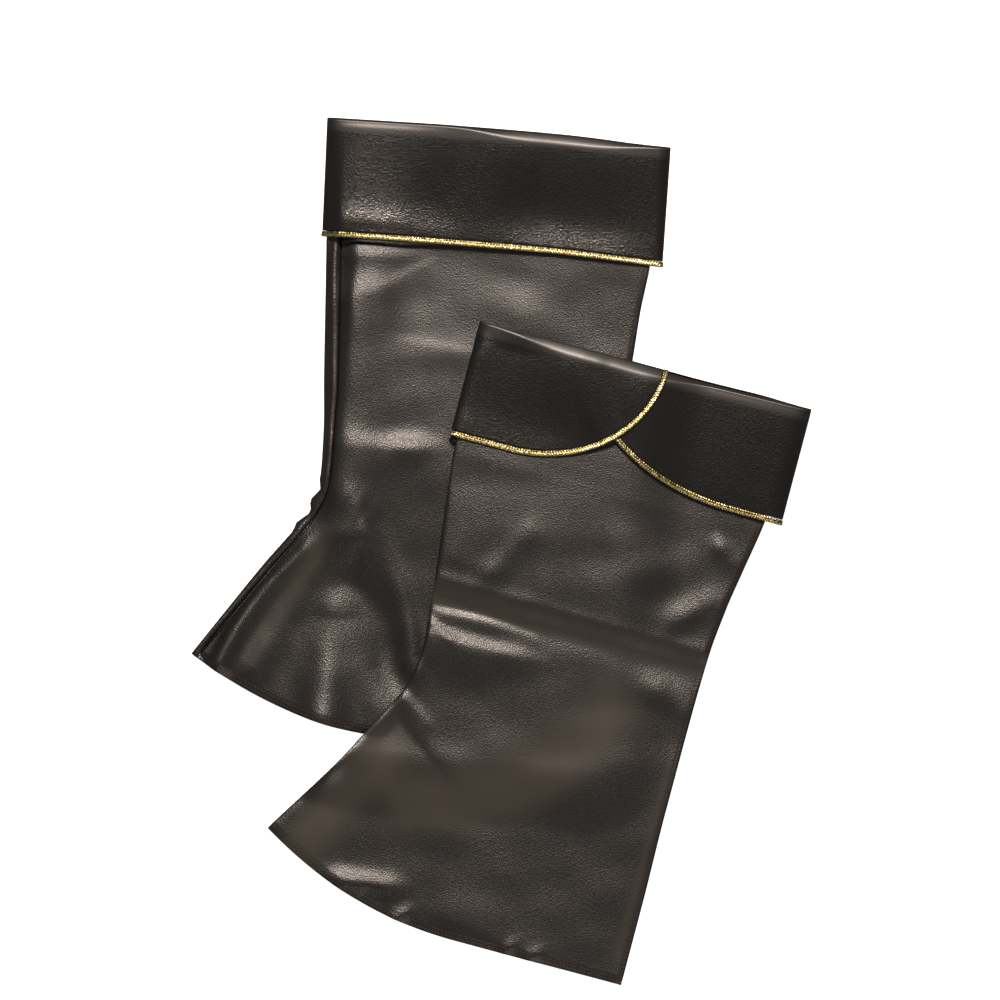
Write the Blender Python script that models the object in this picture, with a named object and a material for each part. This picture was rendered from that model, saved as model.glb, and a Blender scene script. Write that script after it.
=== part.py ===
"""A pair of costume boot covers in black leatherette, laid flat, the left one lying over the right one.

Each cover is two side panels sewn together down the shin and down the back. A cuff is sewn round the
top edge and turned down outside it. The cuff closes on the outer side of the leg, where its shin flap
crosses over its back flap, and gold braid runs along its edge. The right cover lies with its inner
side up, and the left cover with its outer side up.

Each cover has a frame of its own, in millimetres: x runs across it from its shin edge to its back
edge, y runs down it from the fold at the top of the cuff, and z is the height above the table.
"""

import math
from dataclasses import dataclass

import bpy
import numpy as np

MM = 0.001

# The cloth, the braid and the gaps that part the pieces.
CLOTH = 1.0
BRAID_WIDTH = 4.0
BRAID_THICK = 1.4
SEAM_GAP = 0.3
EDGE_GAP = 0.5
LAYER_GAP = 0.65
COVER_GAP = 1.1

# The cuff: how far down its cloth reaches, and the fold at its top. Where the flaps cross, the back
# flap's fold lies inside the shin flap's, and the body's top edge lies inside both.
CUFF_DEPTH = 73.7
FOLD_Y = 2.0
FOLD_REACH = 1.5
FOLD_IN = 1.4
BODY_TOP_Y = FOLD_Y + FOLD_IN - FOLD_REACH + CLOTH
BRAID_Y = CUFF_DEPTH + SEAM_GAP + BRAID_WIDTH / 2

# The hem, turned in: how wide it is, and how far its cloth stands in from the panel's.
HEM_WIDTH = 7.0
HEM_IN = 0.5
ROOM_AT_HEM = 1.5

# Where each flap of the cuff starts to round off, and how far its round end reaches at the fold.
SHIN_FLAP_X, SHIN_FLAP_REACH = 39.0, 86.0
BACK_FLAP_X, BACK_FLAP_REACH = 188.0, 113.0
FLAP_END = 2.0

# The room inside a cover, and how the cloth rolls at its side edges and comes down past a step.
ROOM_AT_FOLD, ROOM_AT_EDGE, ROOM_INSIDE = 0.9, 1.9, 2.6
ROOM_LEAST, ROOM_MOST = 0.5, 3.7
FOLD_RISE = 7.0
EDGE_RISE = 35.0
CUFF_ROLL = 7.0
BODY_ROLL = 1.5
STEP_FALL = 32.0
COVER_FALL = 45.0
COVER_REST = 8.0

# Rows of each wall, as distances down the back edge. The last one is the hem.
CUFF_ROWS = (4.5, 8.0, 14.0, 22.0, 34.0, 46.0, 59.0)
UPPER_ROWS = (
    BODY_TOP_Y, 4.5, 8.0, 14.0, 22.0, 34.0, 46.0, 58.0, 68.0, 78.0, 89.0, 101.0, 116.0, 134.0, 150.0,
    163.0, 171.0, 180.0, 189.0, 199.0, 213.0, 229.0, 243.0, 256.0, 269.0, 283.0, 299.0, 319.0,
    341.0, 363.0,
)
UNDER_ROWS = (
    BODY_TOP_Y, 4.5, 8.0, 14.0, 22.0, 34.0, 46.0, 58.0, 68.0, 78.0, 89.0, 101.0, 118.0, 140.0,
    162.0, 182.0, 202.0, 228.0, 243.0, 256.0, 270.0, 290.0, 315.0, 340.0, 363.0,
)
ROLL_DEG = (0.0, 30.0, 60.0, 90.0)


@dataclass(frozen=True)
class Cover:
    """The sizes of one cover as it lies: its outline, its hem, its seam and its folds."""

    name: str
    corner: tuple  # of the cuff's fold at the shin, in the frame of the pair
    turn_deg: float  # clockwise, seen from above
    flaps_up: bool
    length: float  # down the back edge
    hem_rise: float  # how much higher the hem is at the toe than at the heel
    hem_share: float  # the share of the hem, from the toe, that rises
    hem_power: float
    cuff_edges: tuple  # (down, x at the shin, x at the back)
    shin: tuple  # (down, x)
    back: tuple  # (down, x)
    seam_in: tuple  # (down, how far in from the shin edge the seam lies on the upper side)
    folds: tuple  # (from x, from y, to x, to y, width there, width here, height there, height here)
    top_edge: tuple  # (x, how much lower than straight the fold at the top lies)
    top_reach: float  # how far down the cuff that bend has faded out
    columns: tuple  # how many between the rolls of the upper panel, the under panel and the cuff's
    flap_columns: int


RIGHT = Cover(
    name="right",
    corner=(-113.13, 282.44),
    turn_deg=5.15,
    flaps_up=False,
    length=398.0,
    hem_rise=42.1,
    hem_share=0.5,
    hem_power=1.93,
    cuff_edges=((0.0, 0.0, 224.4), (78.0, 3.6, 226.0)),
    shin=(
        (0.0, 3.2), (78.0, 6.6), (118.0, 9.4), (168.0, 13.0), (205.0, 16.0), (229.0, 16.6),
        (242.0, 15.4), (255.0, 10.8), (267.0, 3.8), (293.0, -15.0), (325.0, -36.6), (355.0, -56.6),
    ),
    back=(
        (0.0, 221.2), (77.0, 218.0), (107.0, 214.6), (138.0, 212.4), (172.0, 209.6), (205.0, 208.0),
        (278.0, 206.6), (340.0, 207.8), (397.0, 208.6),
    ),
    seam_in=((0.0, 8.6), (170.0, 8.6), (200.0, 6.6), (240.0, 5.8), (300.0, 5.2), (355.0, 3.8)),
    folds=(
        (60.0, 215.0, 88.0, 214.0, 10.0, 12.0, 1.0, 1.2),
        (52.0, 190.0, 92.0, 190.0, 9.0, 9.0, -1.3, -1.3),
        (30.0, 245.0, 40.0, 262.0, 9.0, 9.0, 0.8, 0.6),
        (24.0, 100.0, 44.0, 122.0, 12.0, 14.0, 0.8, 0.8),
        (92.0, 96.0, 60.0, 132.0, 10.0, 12.0, -0.7, -0.6),
        (43.0, 296.0, 37.0, 392.0, 9.0, 16.0, 0.9, 2.4),
        (8.0, 284.0, -22.0, 366.0, 7.0, 11.0, -1.4, -2.2),
        (66.0, 292.0, 62.0, 388.0, 9.0, 13.0, -1.0, -1.9),
        (62.0, 268.0, 92.0, 372.0, 9.0, 15.0, 0.7, 1.5),
    ),
    top_edge=((0.0, 0.0), (90.0, -2.2), (150.0, -2.6), (200.0, -1.0), (224.4, 0.3)),
    top_reach=72.0,
    columns=(13, 10, 15),
    flap_columns=10,
)

LEFT = Cover(
    name="left",
    corner=(-13.63, 150.44),
    turn_deg=15.0,
    flaps_up=True,
    length=394.2,
    hem_rise=39.2,
    hem_share=0.55,
    hem_power=2.1,
    cuff_edges=((0.0, 0.0, 223.4), (78.0, 0.3, 223.7)),
    shin=(
        (0.0, 3.0), (79.0, 5.0), (144.0, 12.0), (187.0, 16.6), (214.0, 18.8), (230.0, 18.0),
        (243.0, 14.4), (264.0, 4.9), (281.0, -4.6), (300.0, -14.8), (354.5, -48.4),
    ),
    back=(
        (0.0, 220.4), (80.0, 212.8), (113.0, 207.7), (141.0, 203.4), (175.0, 200.4), (223.0, 199.6),
        (277.0, 199.6), (339.0, 200.6), (394.0, 200.8),
    ),
    seam_in=(),
    folds=(
        (10.0, 162.0, 196.0, 164.0, 10.0, 9.0, 1.1, 0.8),
        (14.0, 182.0, 196.0, 184.0, 8.0, 8.0, -2.0, -1.3),
        (22.0, 191.0, 112.0, 193.0, 5.0, 5.0, 0.9, 0.3),
        (20.0, 210.0, 92.0, 208.0, 10.0, 12.0, 1.1, 0.5),
        (176.0, 202.0, 196.0, 206.0, 10.0, 8.0, 0.9, 0.7),
        (192.0, 106.0, 200.0, 100.0, 9.0, 7.0, 0.8, 0.8),
        (24.0, 246.0, 50.0, 268.0, 6.0, 8.0, -1.0, -0.8),
        (60.0, 300.0, 150.0, 290.0, 30.0, 30.0, 0.8, 0.8),
        (2.0, 352.0, 42.0, 372.0, 9.0, 10.0, -1.2, -1.0),
        (10.0, 374.0, 44.0, 388.0, 7.0, 8.0, 1.0, 0.9),
    ),
    top_edge=((0.0, 0.0), (120.0, 0.4), (224.0, 1.7)),
    top_reach=170.0,
    columns=(13, 12, 16),
    flap_columns=13,
)


def ramp(value):
    """Rises smoothly from 0 to 1 as value goes from 0 to 1."""
    value = np.clip(value, 0.0, 1.0)
    return value * value * (3.0 - 2.0 * value)


def column(rows, index):
    return np.array([row[index] for row in rows], float)


def read(rows, index, at):
    """Reads a column of a table along its first one, on a smooth curve that doesn't overshoot its rows."""
    x, y = column(rows, 0), column(rows, index)
    width, rise = np.diff(x), np.diff(y)
    slope = rise / width
    tangent = np.concatenate([[slope[0]], np.zeros(len(x) - 2), [slope[-1]]])
    same = slope[1:] * slope[:-1] > 0
    inner = np.where(same, 2.0 * slope[1:] * slope[:-1] / np.where(same, slope[1:] + slope[:-1], 1.0), 0.0)
    tangent[1:-1] = inner
    at = np.clip(at, x[0], x[-1])
    i = np.clip(np.searchsorted(x, at, side="right") - 1, 0, len(width) - 1)
    t = (at - x[i]) / width[i]
    return (
        y[i]
        + rise[i] * t * t * (3.0 - 2.0 * t)
        + width[i] * t * (1.0 - t) * (tangent[i] * (1.0 - t) - tangent[i + 1] * t)
    )


def to_pair(cover, x, y):
    """A point of a cover's frame in the frame of the pair."""
    turn = math.radians(cover.turn_deg)
    across, down = (math.cos(turn), -math.sin(turn)), (-math.sin(turn), -math.cos(turn))
    return (
        cover.corner[0] + x * across[0] + y * down[0],
        cover.corner[1] + x * across[1] + y * down[1],
    )


def from_pair(cover, px, py):
    turn = math.radians(cover.turn_deg)
    dx, dy = px - cover.corner[0], py - cover.corner[1]
    return (
        dx * math.cos(turn) - dy * math.sin(turn),
        -dx * math.sin(turn) - dy * math.cos(turn),
    )


def hem_line(cover, share):
    """How much of the hem's rise there is at a share of the way from the toe to the heel."""
    return np.clip(1.0 - share / cover.hem_share, 0.0, 1.0) ** cover.hem_power


def rise_at(cover, down):
    """How far a row's end at the shin lies above its end at the back."""
    start = 0.42
    return cover.hem_rise * ramp((down / cover.length - start) / (1.0 - start))


def outline(cover):
    """The cover's outline below its cuff, as points all round it."""
    down = np.linspace(BODY_TOP_Y, cover.length, 40)
    shin_y = down - rise_at(cover, down)
    shin = np.stack([read(cover.shin, 1, shin_y), shin_y], 1)
    back = np.stack([read(cover.back, 1, down), down], 1)
    share = np.linspace(0.0, 1.0, 24)
    hem_x = shin[-1, 0] + (back[-1, 0] - shin[-1, 0]) * share
    hem = np.stack([hem_x, cover.length - cover.hem_rise * hem_line(cover, share)], 1)
    return np.concatenate([shin, hem[1:-1], back[::-1]])


def depth_inside(points, x, y):
    """The distance from each (x, y) to a closed outline, above zero inside it."""
    a, b = points, np.roll(points, -1, axis=0)
    d = b - a
    px, py = np.asarray(x)[..., None], np.asarray(y)[..., None]
    along = (px - a[:, 0]) * d[:, 0] + (py - a[:, 1]) * d[:, 1]
    t = np.clip(along / np.maximum((d * d).sum(1), 1e-12), 0.0, 1.0)
    away = np.hypot(px - a[:, 0] - t * d[:, 0], py - a[:, 1] - t * d[:, 1]).min(-1)
    spans = (a[:, 1] > py) != (b[:, 1] > py)
    height = np.where(np.abs(d[:, 1]) < 1e-9, 1e-9, d[:, 1])
    crossings = spans & (px < a[:, 0] + (py - a[:, 1]) * d[:, 0] / height)
    inside = crossings.sum(-1) % 2 == 1
    return np.where(inside, away, -away)


def flap_depth(x, y, start, reach):
    """How far (x, y) lies inside the middle of the braid of a flap whose end rounds off from start."""
    over = np.clip((x - start) / reach, 0.0, None)
    ring = np.hypot(over, y / BRAID_Y)
    steep = np.hypot(over / reach, y / BRAID_Y**2) / np.maximum(ring, 1e-6)
    return (1.0 - ring) / np.maximum(steep, 1e-6)


def lift(depth):
    """How much a layer of cuff, with braid at its edge, raises the cloth that lies over it."""
    braid = 1.0 - ramp((np.abs(depth) - 4.0) / 10.0)
    layer = CLOTH + LAYER_GAP + (BRAID_THICK - CLOTH + 0.2) * braid
    return layer * ramp((depth + BRAID_WIDTH + STEP_FALL) / STEP_FALL)


def lift_of(kind, x, y):
    """The lift of the plain side, the shin flap or the back flap of a cuff."""
    if kind == "plain":
        return lift(BRAID_Y - y + 0.0 * x)
    if kind == "shin":
        return lift(flap_depth(x, y, SHIN_FLAP_X, SHIN_FLAP_REACH))
    return lift(flap_depth(-x, y, -BACK_FLAP_X, BACK_FLAP_REACH))


def fold_height(folds, x, y):
    """The sum of the folds: each is a soft ridge or trough along a line, tapered past its ends."""
    total = 0.0 * x
    for x0, y0, x1, y1, width0, width1, height0, height1 in folds:
        length = math.hypot(x1 - x0, y1 - y0)
        ux, uy = (x1 - x0) / length, (y1 - y0) / length
        along = (x - x0) * ux + (y - y0) * uy
        share = np.clip(along / length, 0.0, 1.0)
        past = along - share * length
        width = width0 + (width1 - width0) * share
        aside = (x - x0) * uy - (y - y0) * ux
        reach = np.exp(-((aside / width) ** 2) - (past / (1.6 * width)) ** 2)
        total = total + (height0 + (height1 - height0) * share) * reach
    return total


def hem_y(cover, x):
    """How far down the hem lies at each x."""
    toe, heel = cover.shin[-1][1] + CLOTH / 2, cover.back[-1][1] - CLOTH / 2
    share = np.clip((x - toe) / (heel - toe), 0.0, 1.0)
    return cover.length - cover.hem_rise * hem_line(cover, share)


def room(cover, x, y):
    """The height of the room between the two panels of a cover."""
    edge = np.minimum(x - read(cover.shin, 1, y), read(cover.back, 1, y) - x)
    inside = ROOM_AT_EDGE + (ROOM_INSIDE - ROOM_AT_EDGE) * ramp(edge / EDGE_RISE)
    wanted = inside + fold_height(cover.folds, x, y)
    at_hem = ramp((y - hem_y(cover, x) + 5 * HEM_WIDTH) / (4 * HEM_WIDTH))
    least = ROOM_LEAST + (ROOM_AT_HEM - ROOM_LEAST) * at_hem
    middle, half = (ROOM_MOST + least) / 2, (ROOM_MOST - least) / 2
    held = middle + half * np.tanh((wanted - middle) / half)
    return ROOM_AT_FOLD + (held - ROOM_AT_FOLD) * (1.0 - np.exp(-(y - BODY_TOP_Y) / FOLD_RISE))


def support(cover, x, y):
    """What lies under a cover: the table, or for the left cover also the right one."""
    if cover is RIGHT:
        return 0.0 * x
    px, py = to_pair(cover, x, y)
    rx, ry = from_pair(RIGHT, px, py)
    depth = depth_inside(outline(RIGHT), rx, ry)
    top = upper_middle(RIGHT, rx, np.clip(ry, BODY_TOP_Y, RIGHT.length)) + CLOTH / 2
    return (top + COVER_GAP) * ramp((depth + COVER_FALL + COVER_REST) / COVER_FALL)


def under_middle(cover, x, y):
    """The height of the middle of the under panel's cloth, away from its edges."""
    below = ("plain",) if cover.flaps_up else ("shin", "back")
    raised = sum(lift_of(kind, x, y) for kind in below)
    return support(cover, x, y) + raised + CLOTH / 2


def upper_middle(cover, x, y):
    return under_middle(cover, x, y) + CLOTH + room(cover, x, y)


def rolled(low, high, side, distance, radius):
    """The height of a skin that meets the other one at an edge, both rolled like an ellipse there."""
    share = np.sqrt(1.0 - (1.0 - np.clip(distance / radius, 0.0, 1.0)) ** 2)
    return (low + high) / 2 + side * (EDGE_GAP + ((high - low) / 2 - EDGE_GAP) * share)


def spread(left, right, count):
    """Columns of distances: the given ones from the left edge, an even run, and those to the right one."""
    share = np.linspace(0.0, 1.0, count + 2)[1:-1]
    middle = left[:, -1:] + (right[:, :1] - left[:, -1:]) * share
    return np.concatenate([left, middle, right], axis=1)


def body_panel(cover, upper):
    """The points of the middle of a body panel's cloth, by row and column."""
    hem_rows = (cover.length - HEM_WIDTH - 2.0, cover.length - HEM_WIDTH, cover.length)
    rows = np.array((UPPER_ROWS if upper else UNDER_ROWS) + hem_rows)
    shin_y = rows - rise_at(cover, rows)
    left_x, right_x = read(cover.shin, 1, shin_y) + CLOTH / 2, read(cover.back, 1, rows) - CLOTH / 2
    width = right_x - left_x
    side = 1.0 if upper else -1.0

    middle_x, middle_y = (left_x + right_x) / 2, (rows + shin_y) / 2
    half = (upper_middle(cover, middle_x, middle_y) - under_middle(cover, middle_x, middle_y)) / 2
    radius = BODY_ROLL * half
    turn = np.radians(ROLL_DEG)
    roll_in = radius[:, None] * (1.0 - np.cos(turn))
    right = width[:, None] - roll_in[:, ::-1]
    sides = np.full(len(ROLL_DEG), side)
    if not cover.seam_in:
        left, left_sides = roll_in, sides
    else:
        seam = read(cover.seam_in, 1, shin_y)[:, None]
        if upper:
            left = seam + np.array([SEAM_GAP / 2, 2.0, 5.0, 9.0])
            left_sides = sides
        else:
            top = (seam - SEAM_GAP / 2) * np.array([1.0, 0.62, 0.33, 0.1])
            bottom = radius[:, None] * (1.0 - np.cos(np.radians([0.0, 35.0, 62.0, 90.0])))
            left = np.concatenate([top, bottom], axis=1)
            left_sides = np.array([1.0] * 4 + [-1.0] * 4)
    count = cover.columns[0 if upper else 1]
    from_left = spread(left, right, count)
    which = np.concatenate([left_sides, np.full(count, side), sides])

    share = from_left / width[:, None]
    x = left_x[:, None] + from_left
    y = rows[:, None] - rise_at(cover, rows)[:, None] * hem_line(cover, share)
    low, high = under_middle(cover, x, y), upper_middle(cover, x, y)
    near = np.minimum(from_left, width[:, None] - from_left)
    return np.stack([x, y, rolled(low, high, which, near, radius[:, None])], -1)


def fold_of(kind):
    return FOLD_Y + (FOLD_IN if kind == "back" else 0.0)


def cuff_columns(cover, kind, inset):
    """Where each column of a cuff piece lies across it, and how far down it reaches. The piece's edge
    lies this far in from the middle of its braid."""
    roll_in = CUFF_ROLL * (1.0 - np.cos(np.radians(ROLL_DEG)))
    width = cover.cuff_edges[0][2] - CLOTH
    if kind == "plain":
        x = spread(roll_in[None], width - roll_in[None, ::-1], cover.columns[2])[0]
        return x, np.full(len(x), BRAID_Y - inset)
    start, reach = (SHIN_FLAP_X, SHIN_FLAP_REACH) if kind == "shin" else (BACK_FLAP_X, BACK_FLAP_REACH)
    if kind == "back":
        start = width - start
    last = math.acos((fold_of(kind) + FLAP_END) / (BRAID_Y - BRAID_WIDTH))
    bend = np.linspace(0.0, last, cover.flap_columns)
    straight = np.linspace(CUFF_ROLL, start, 4)[1:-1]
    x = np.concatenate([roll_in, straight, start + (reach - inset) * np.sin(bend)])
    down = np.concatenate([np.full(len(x) - len(bend), BRAID_Y - inset), (BRAID_Y - inset) * np.cos(bend)])
    return (x, down) if kind == "shin" else (width - x, down)


def cuff_piece(cover, kind, inset=SEAM_GAP + BRAID_WIDTH / 2):
    """The points of the middle of a cuff piece's cloth. Its rows run from inside the fold to its edge,
    and its columns from its first side edge to the other one, or to its round end."""
    upper = (kind == "plain") != cover.flaps_up
    side = 1.0 if upper else -1.0
    x0, down = cuff_columns(cover, kind, inset)
    width = cover.cuff_edges[0][2] - CLOTH
    turn = np.radians([0.0, 30.0, 60.0, 90.0])[:, None]
    top = fold_of(kind)
    fold_y = top - FOLD_REACH * np.cos(turn) + 0.0 * x0
    share = (np.array(CUFF_ROWS + (CUFF_DEPTH,)) - FOLD_Y) / (CUFF_DEPTH - FOLD_Y)
    below_y = top + share[:, None] * (down - top)
    y = np.concatenate([fold_y, below_y])
    sunk = np.concatenate([1.0 - np.sin(turn) + 0.0 * x0, 0.0 * below_y]) * (CLOTH + LAYER_GAP)

    edge = np.clip(np.minimum(x0, width - x0), 0.0, None) + 0.0 * y
    first = read(cover.cuff_edges, 1, y) + CLOTH / 2
    x = first + x0 / width * (read(cover.cuff_edges, 2, y) - CLOTH / 2 - first)
    at = np.maximum(y, top)
    low = support(cover, x, at) + CLOTH / 2
    high = upper_middle(cover, x, at) + CLOTH + LAYER_GAP
    centre = (low + high) / 2
    if upper and kind == "shin":
        high = high + lift_of("back", x, at)
    if not upper and kind == "back":
        low = low + lift_of("shin", x, at)
    reach = (high - centre if upper else centre - low) - sunk
    return np.stack([x, y, rolled(centre - reach, centre + reach, side, edge, CUFF_ROLL)], -1)


def unit(v):
    return v / np.maximum(np.linalg.norm(v, axis=-1, keepdims=True), 1e-12)


def grid_normals(points):
    """The normal at each point of a grid, as the mean of those of the faces round it."""
    across = points[1:, 1:] - points[:-1, :-1]
    other = points[1:, :-1] - points[:-1, 1:]
    face = unit(np.cross(across, other))
    padded = np.pad(face, ((1, 1), (1, 1), (0, 0)), mode="edge")
    return unit(padded[1:, 1:] + padded[:-1, 1:] + padded[1:, :-1] + padded[:-1, :-1])


def grid_faces(rows, columns, offset, flip):
    index = np.arange(rows * columns).reshape(rows, columns) + offset
    quads = np.stack([index[:-1, :-1], index[:-1, 1:], index[1:, 1:], index[1:, :-1]], -1).reshape(-1, 4)
    return quads[:, ::-1] if flip else quads


def rim_faces(rows, columns, offset):
    """The faces that close the edge of a wall, between its two skins."""
    index = np.arange(rows * columns).reshape(rows, columns)
    loop = np.concatenate([index[0, :-1], index[:-1, -1], index[-1, :0:-1], index[:0:-1, 0]])
    ahead = np.roll(loop, -1)
    return np.stack([ahead, loop, loop + offset, ahead + offset], -1)


def object_frame(cover, points):
    """A cover's points as its object holds them: +Y up the cover, in metres, its top edge bent."""
    x, y, z = points.T
    y = y + read(cover.top_edge, 1, x) * (1.0 - ramp(y / cover.top_reach))
    return np.stack([x, -y, z], 1) * MM


def add_object(name, points, faces, material, cover):
    """A mesh object in its cover's frame. Turning y round mirrors it, so each face is reversed."""
    mesh = bpy.data.meshes.new(name)
    mesh.from_pydata(object_frame(cover, points).tolist(), [], [list(map(int, face))[::-1] for face in faces])
    mesh.materials.append(material)
    mesh.shade_smooth()
    mesh.set_sharp_from_angle(angle=math.radians(50.0))
    made = bpy.data.objects.new(name, mesh)
    made.parent = bpy.data.objects[cover.name + "_cover_place"]
    bpy.context.scene.collection.objects.link(made)
    return made


def add_wall(name, middle, material, cover, hem_side=0.0):
    """A piece of cloth: a wall half to each side of its middle. A panel's hem is turned in, which makes
    the wall thicker there on its inner side, as hem_side says."""
    rows, columns = middle.shape[:2]
    normal = grid_normals(middle)
    inward = np.zeros((rows, columns, 1))
    inward[-2:, len(ROLL_DEG):-len(ROLL_DEG)] = HEM_IN
    skins = [
        (middle + (side * CLOTH / 2 + (side == hem_side) * side * inward) * normal).reshape(-1, 3)
        for side in (1.0, -1.0)
    ]
    count = rows * columns
    faces = np.concatenate([
        grid_faces(rows, columns, 0, flip=False),
        grid_faces(rows, columns, count, flip=True),
        rim_faces(rows, columns, count),
    ])
    return add_object(name, np.concatenate(skins), faces, material, cover)


def braid_section():
    """Two ribs side by side, as (width, thickness) from the middle of the braid, all round."""
    wide, thick = BRAID_WIDTH / 2, BRAID_THICK / 2
    waist = 0.55 * thick
    half = [(-wide, 0.0), (-wide / 2, thick), (0.0, waist), (wide / 2, thick)]
    return np.array(half + [(-a, -b) for a, b in half])


def braid_line(cover, kind, inset):
    """The line on a cuff piece's surface that runs this far in from the middle of its braid. A flap's
    line ends at the fold, and the shin flap's goes on over it."""
    cloth = cuff_piece(cover, kind, inset)
    if kind == "plain":
        return cloth[-1]
    over_fold = (3, 2, 1) if kind == "shin" else (3,)
    return np.concatenate([cloth[-1], cloth[list(over_fold), -1]])


def add_braid(name, kind, material, cover):
    """Braid round the edge of a cuff piece: two ribs side by side, on the line of its middle."""
    upper = (kind == "plain") != cover.flaps_up
    inner, middle, outer = (braid_line(cover, kind, inset) for inset in (1.5, 0.0, -1.5))
    tangent = unit(np.gradient(middle, axis=0))
    out = outer - inner
    out = unit(out - (out * tangent).sum(-1, keepdims=True) * tangent)
    normal = np.cross(tangent, out)
    turned = (1.0 if upper else -1.0) * np.sign(normal[len(normal) // 2, 2])
    normal = normal * turned
    proud = (BRAID_THICK - CLOTH) / 2 * (1.0 if upper else -1.0)
    section = braid_section()
    rings = (
        (middle + normal * proud)[:, None]
        + out[:, None] * section[None, :, :1]
        + normal[:, None] * section[None, :, 1:]
    )
    count, sides = rings.shape[:2]
    index = np.arange(count * sides).reshape(count, sides)
    ahead = np.roll(index, -1, axis=1)
    skin = np.stack([index[:-1], index[1:], ahead[1:], ahead[:-1]], -1).reshape(-1, 4)
    faces = [list(face) for face in skin] + [list(index[0]), list(index[-1])[::-1]]
    if np.dot(np.cross(out[0], normal[0]), tangent[0]) < 0.0:
        faces = [face[::-1] for face in faces]
    return add_object(name, rings.reshape(-1, 3), faces, material, cover)


def finish(name, colour, metallic, roughness):
    material = bpy.data.materials.new(name)
    material.use_nodes = True
    shader = material.node_tree.nodes["Principled BSDF"]
    shader.inputs["Base Color"].default_value = (*colour, 1.0)
    shader.inputs["Metallic"].default_value = metallic
    shader.inputs["Roughness"].default_value = roughness
    return material


def add_place(cover):
    """The empty that puts a cover's frame in its place in the pair."""
    place = bpy.data.objects.new(cover.name + "_cover_place", None)
    place.location = (cover.corner[0] * MM, cover.corner[1] * MM, 0.0)
    place.rotation_euler = (0.0, 0.0, -math.radians(cover.turn_deg))
    bpy.context.scene.collection.objects.link(place)


def add_cover(cover, leatherette, gold):
    add_place(cover)
    for upper, panel in ((True, "upper_panel"), (False, "under_panel")):
        inner = -1.0 if upper else 1.0
        add_wall(f"{cover.name}_body_{panel}", body_panel(cover, upper), leatherette, cover, inner)
    for kind, piece in (("plain", "plain_side"), ("shin", "shin_flap"), ("back", "back_flap")):
        cloth = cuff_piece(cover, kind)
        if kind == "back":
            cloth = cloth[:, ::-1]
        add_wall(f"{cover.name}_cuff_{piece}", cloth, leatherette, cover)
        add_braid(f"{cover.name}_braid_{piece}", kind, gold, cover)


def main():
    for old in list(bpy.data.objects):
        bpy.data.objects.remove(old, do_unlink=True)
    leatherette = finish("black_leatherette", (0.012, 0.010, 0.009), 0.0, 0.42)
    gold = finish("gold_braid", (0.56, 0.42, 0.10), 1.0, 0.35)
    for cover in (RIGHT, LEFT):
        add_cover(cover, leatherette, gold)


main()
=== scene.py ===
import logging
import math
from dataclasses import dataclass, field
from enum import Enum

import bmesh
import bpy
import numpy as np
from numpy.typing import NDArray
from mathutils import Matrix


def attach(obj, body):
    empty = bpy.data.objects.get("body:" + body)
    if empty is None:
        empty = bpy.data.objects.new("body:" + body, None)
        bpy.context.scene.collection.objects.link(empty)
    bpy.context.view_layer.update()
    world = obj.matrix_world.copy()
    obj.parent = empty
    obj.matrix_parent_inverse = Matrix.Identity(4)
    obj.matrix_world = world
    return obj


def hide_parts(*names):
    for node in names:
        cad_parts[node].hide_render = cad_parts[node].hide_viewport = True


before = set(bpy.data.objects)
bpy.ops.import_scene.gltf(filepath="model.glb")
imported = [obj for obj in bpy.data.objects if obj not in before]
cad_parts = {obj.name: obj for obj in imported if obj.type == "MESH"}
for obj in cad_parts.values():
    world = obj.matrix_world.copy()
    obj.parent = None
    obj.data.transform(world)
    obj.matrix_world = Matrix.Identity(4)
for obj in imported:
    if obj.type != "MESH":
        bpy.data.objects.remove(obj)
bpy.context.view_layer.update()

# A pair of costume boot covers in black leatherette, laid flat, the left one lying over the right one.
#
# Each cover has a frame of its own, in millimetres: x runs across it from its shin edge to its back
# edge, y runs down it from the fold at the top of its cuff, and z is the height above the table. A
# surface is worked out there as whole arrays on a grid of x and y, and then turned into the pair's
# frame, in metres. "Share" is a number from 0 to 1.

Array = NDArray[np.float64]
Table = tuple[tuple[float, ...], ...]
log = logging.getLogger("boot_covers")

MM = 0.001

# The walls of the solids, and the slightly thinner ones that the scene puts in their place.
CLOTH = 1.0
SHOWN_CLOTH = 0.9
BRAID_WIDTH = 4.0
BRAID_THICK = 1.4
SHOWN_BRAID = 3.5
RIM = 0.45

# The gaps between cloth and braid, layer and layer, and cover and cover, and a braid's lowest point.
SEAM_GAP = 0.3
LAYER_GAP = 0.65
COVER_GAP = 1.1
TABLE = 0.05

# The cuff: how far down its edge lies, its fold, and how much lower the fold of its back end lies.
CUFF_DEPTH = 73.7
FOLD_Y = 2.0
FOLD_REACH = 1.5
FOLD_IN = 1.4
BODY_TOP_Y = FOLD_Y + FOLD_IN - FOLD_REACH + CLOTH
BRAID_Y = CUFF_DEPTH + SEAM_GAP + BRAID_WIDTH / 2

# Where the rounded end of each flap starts and how wide it is, and how far below the fold it ends.
SHIN_FLAP = (39.0, 86.0)
BACK_FLAP = (188.0, 113.0)
FLAP_END = 2.0

# How far in from a side edge the cuff's roll ends, and the body's, as a share of its height.
CUFF_ROLL = 7.0
BODY_ROLL = 1.5


class Side(Enum):
    """Which way a layer of a cover faces as it lies."""

    UPPER = 1.0
    UNDER = -1.0


class CuffPart(Enum):
    """The three stretches of a cuff."""

    PLAIN = "plain"
    SHIN = "shin"
    BACK = "back"


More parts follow.
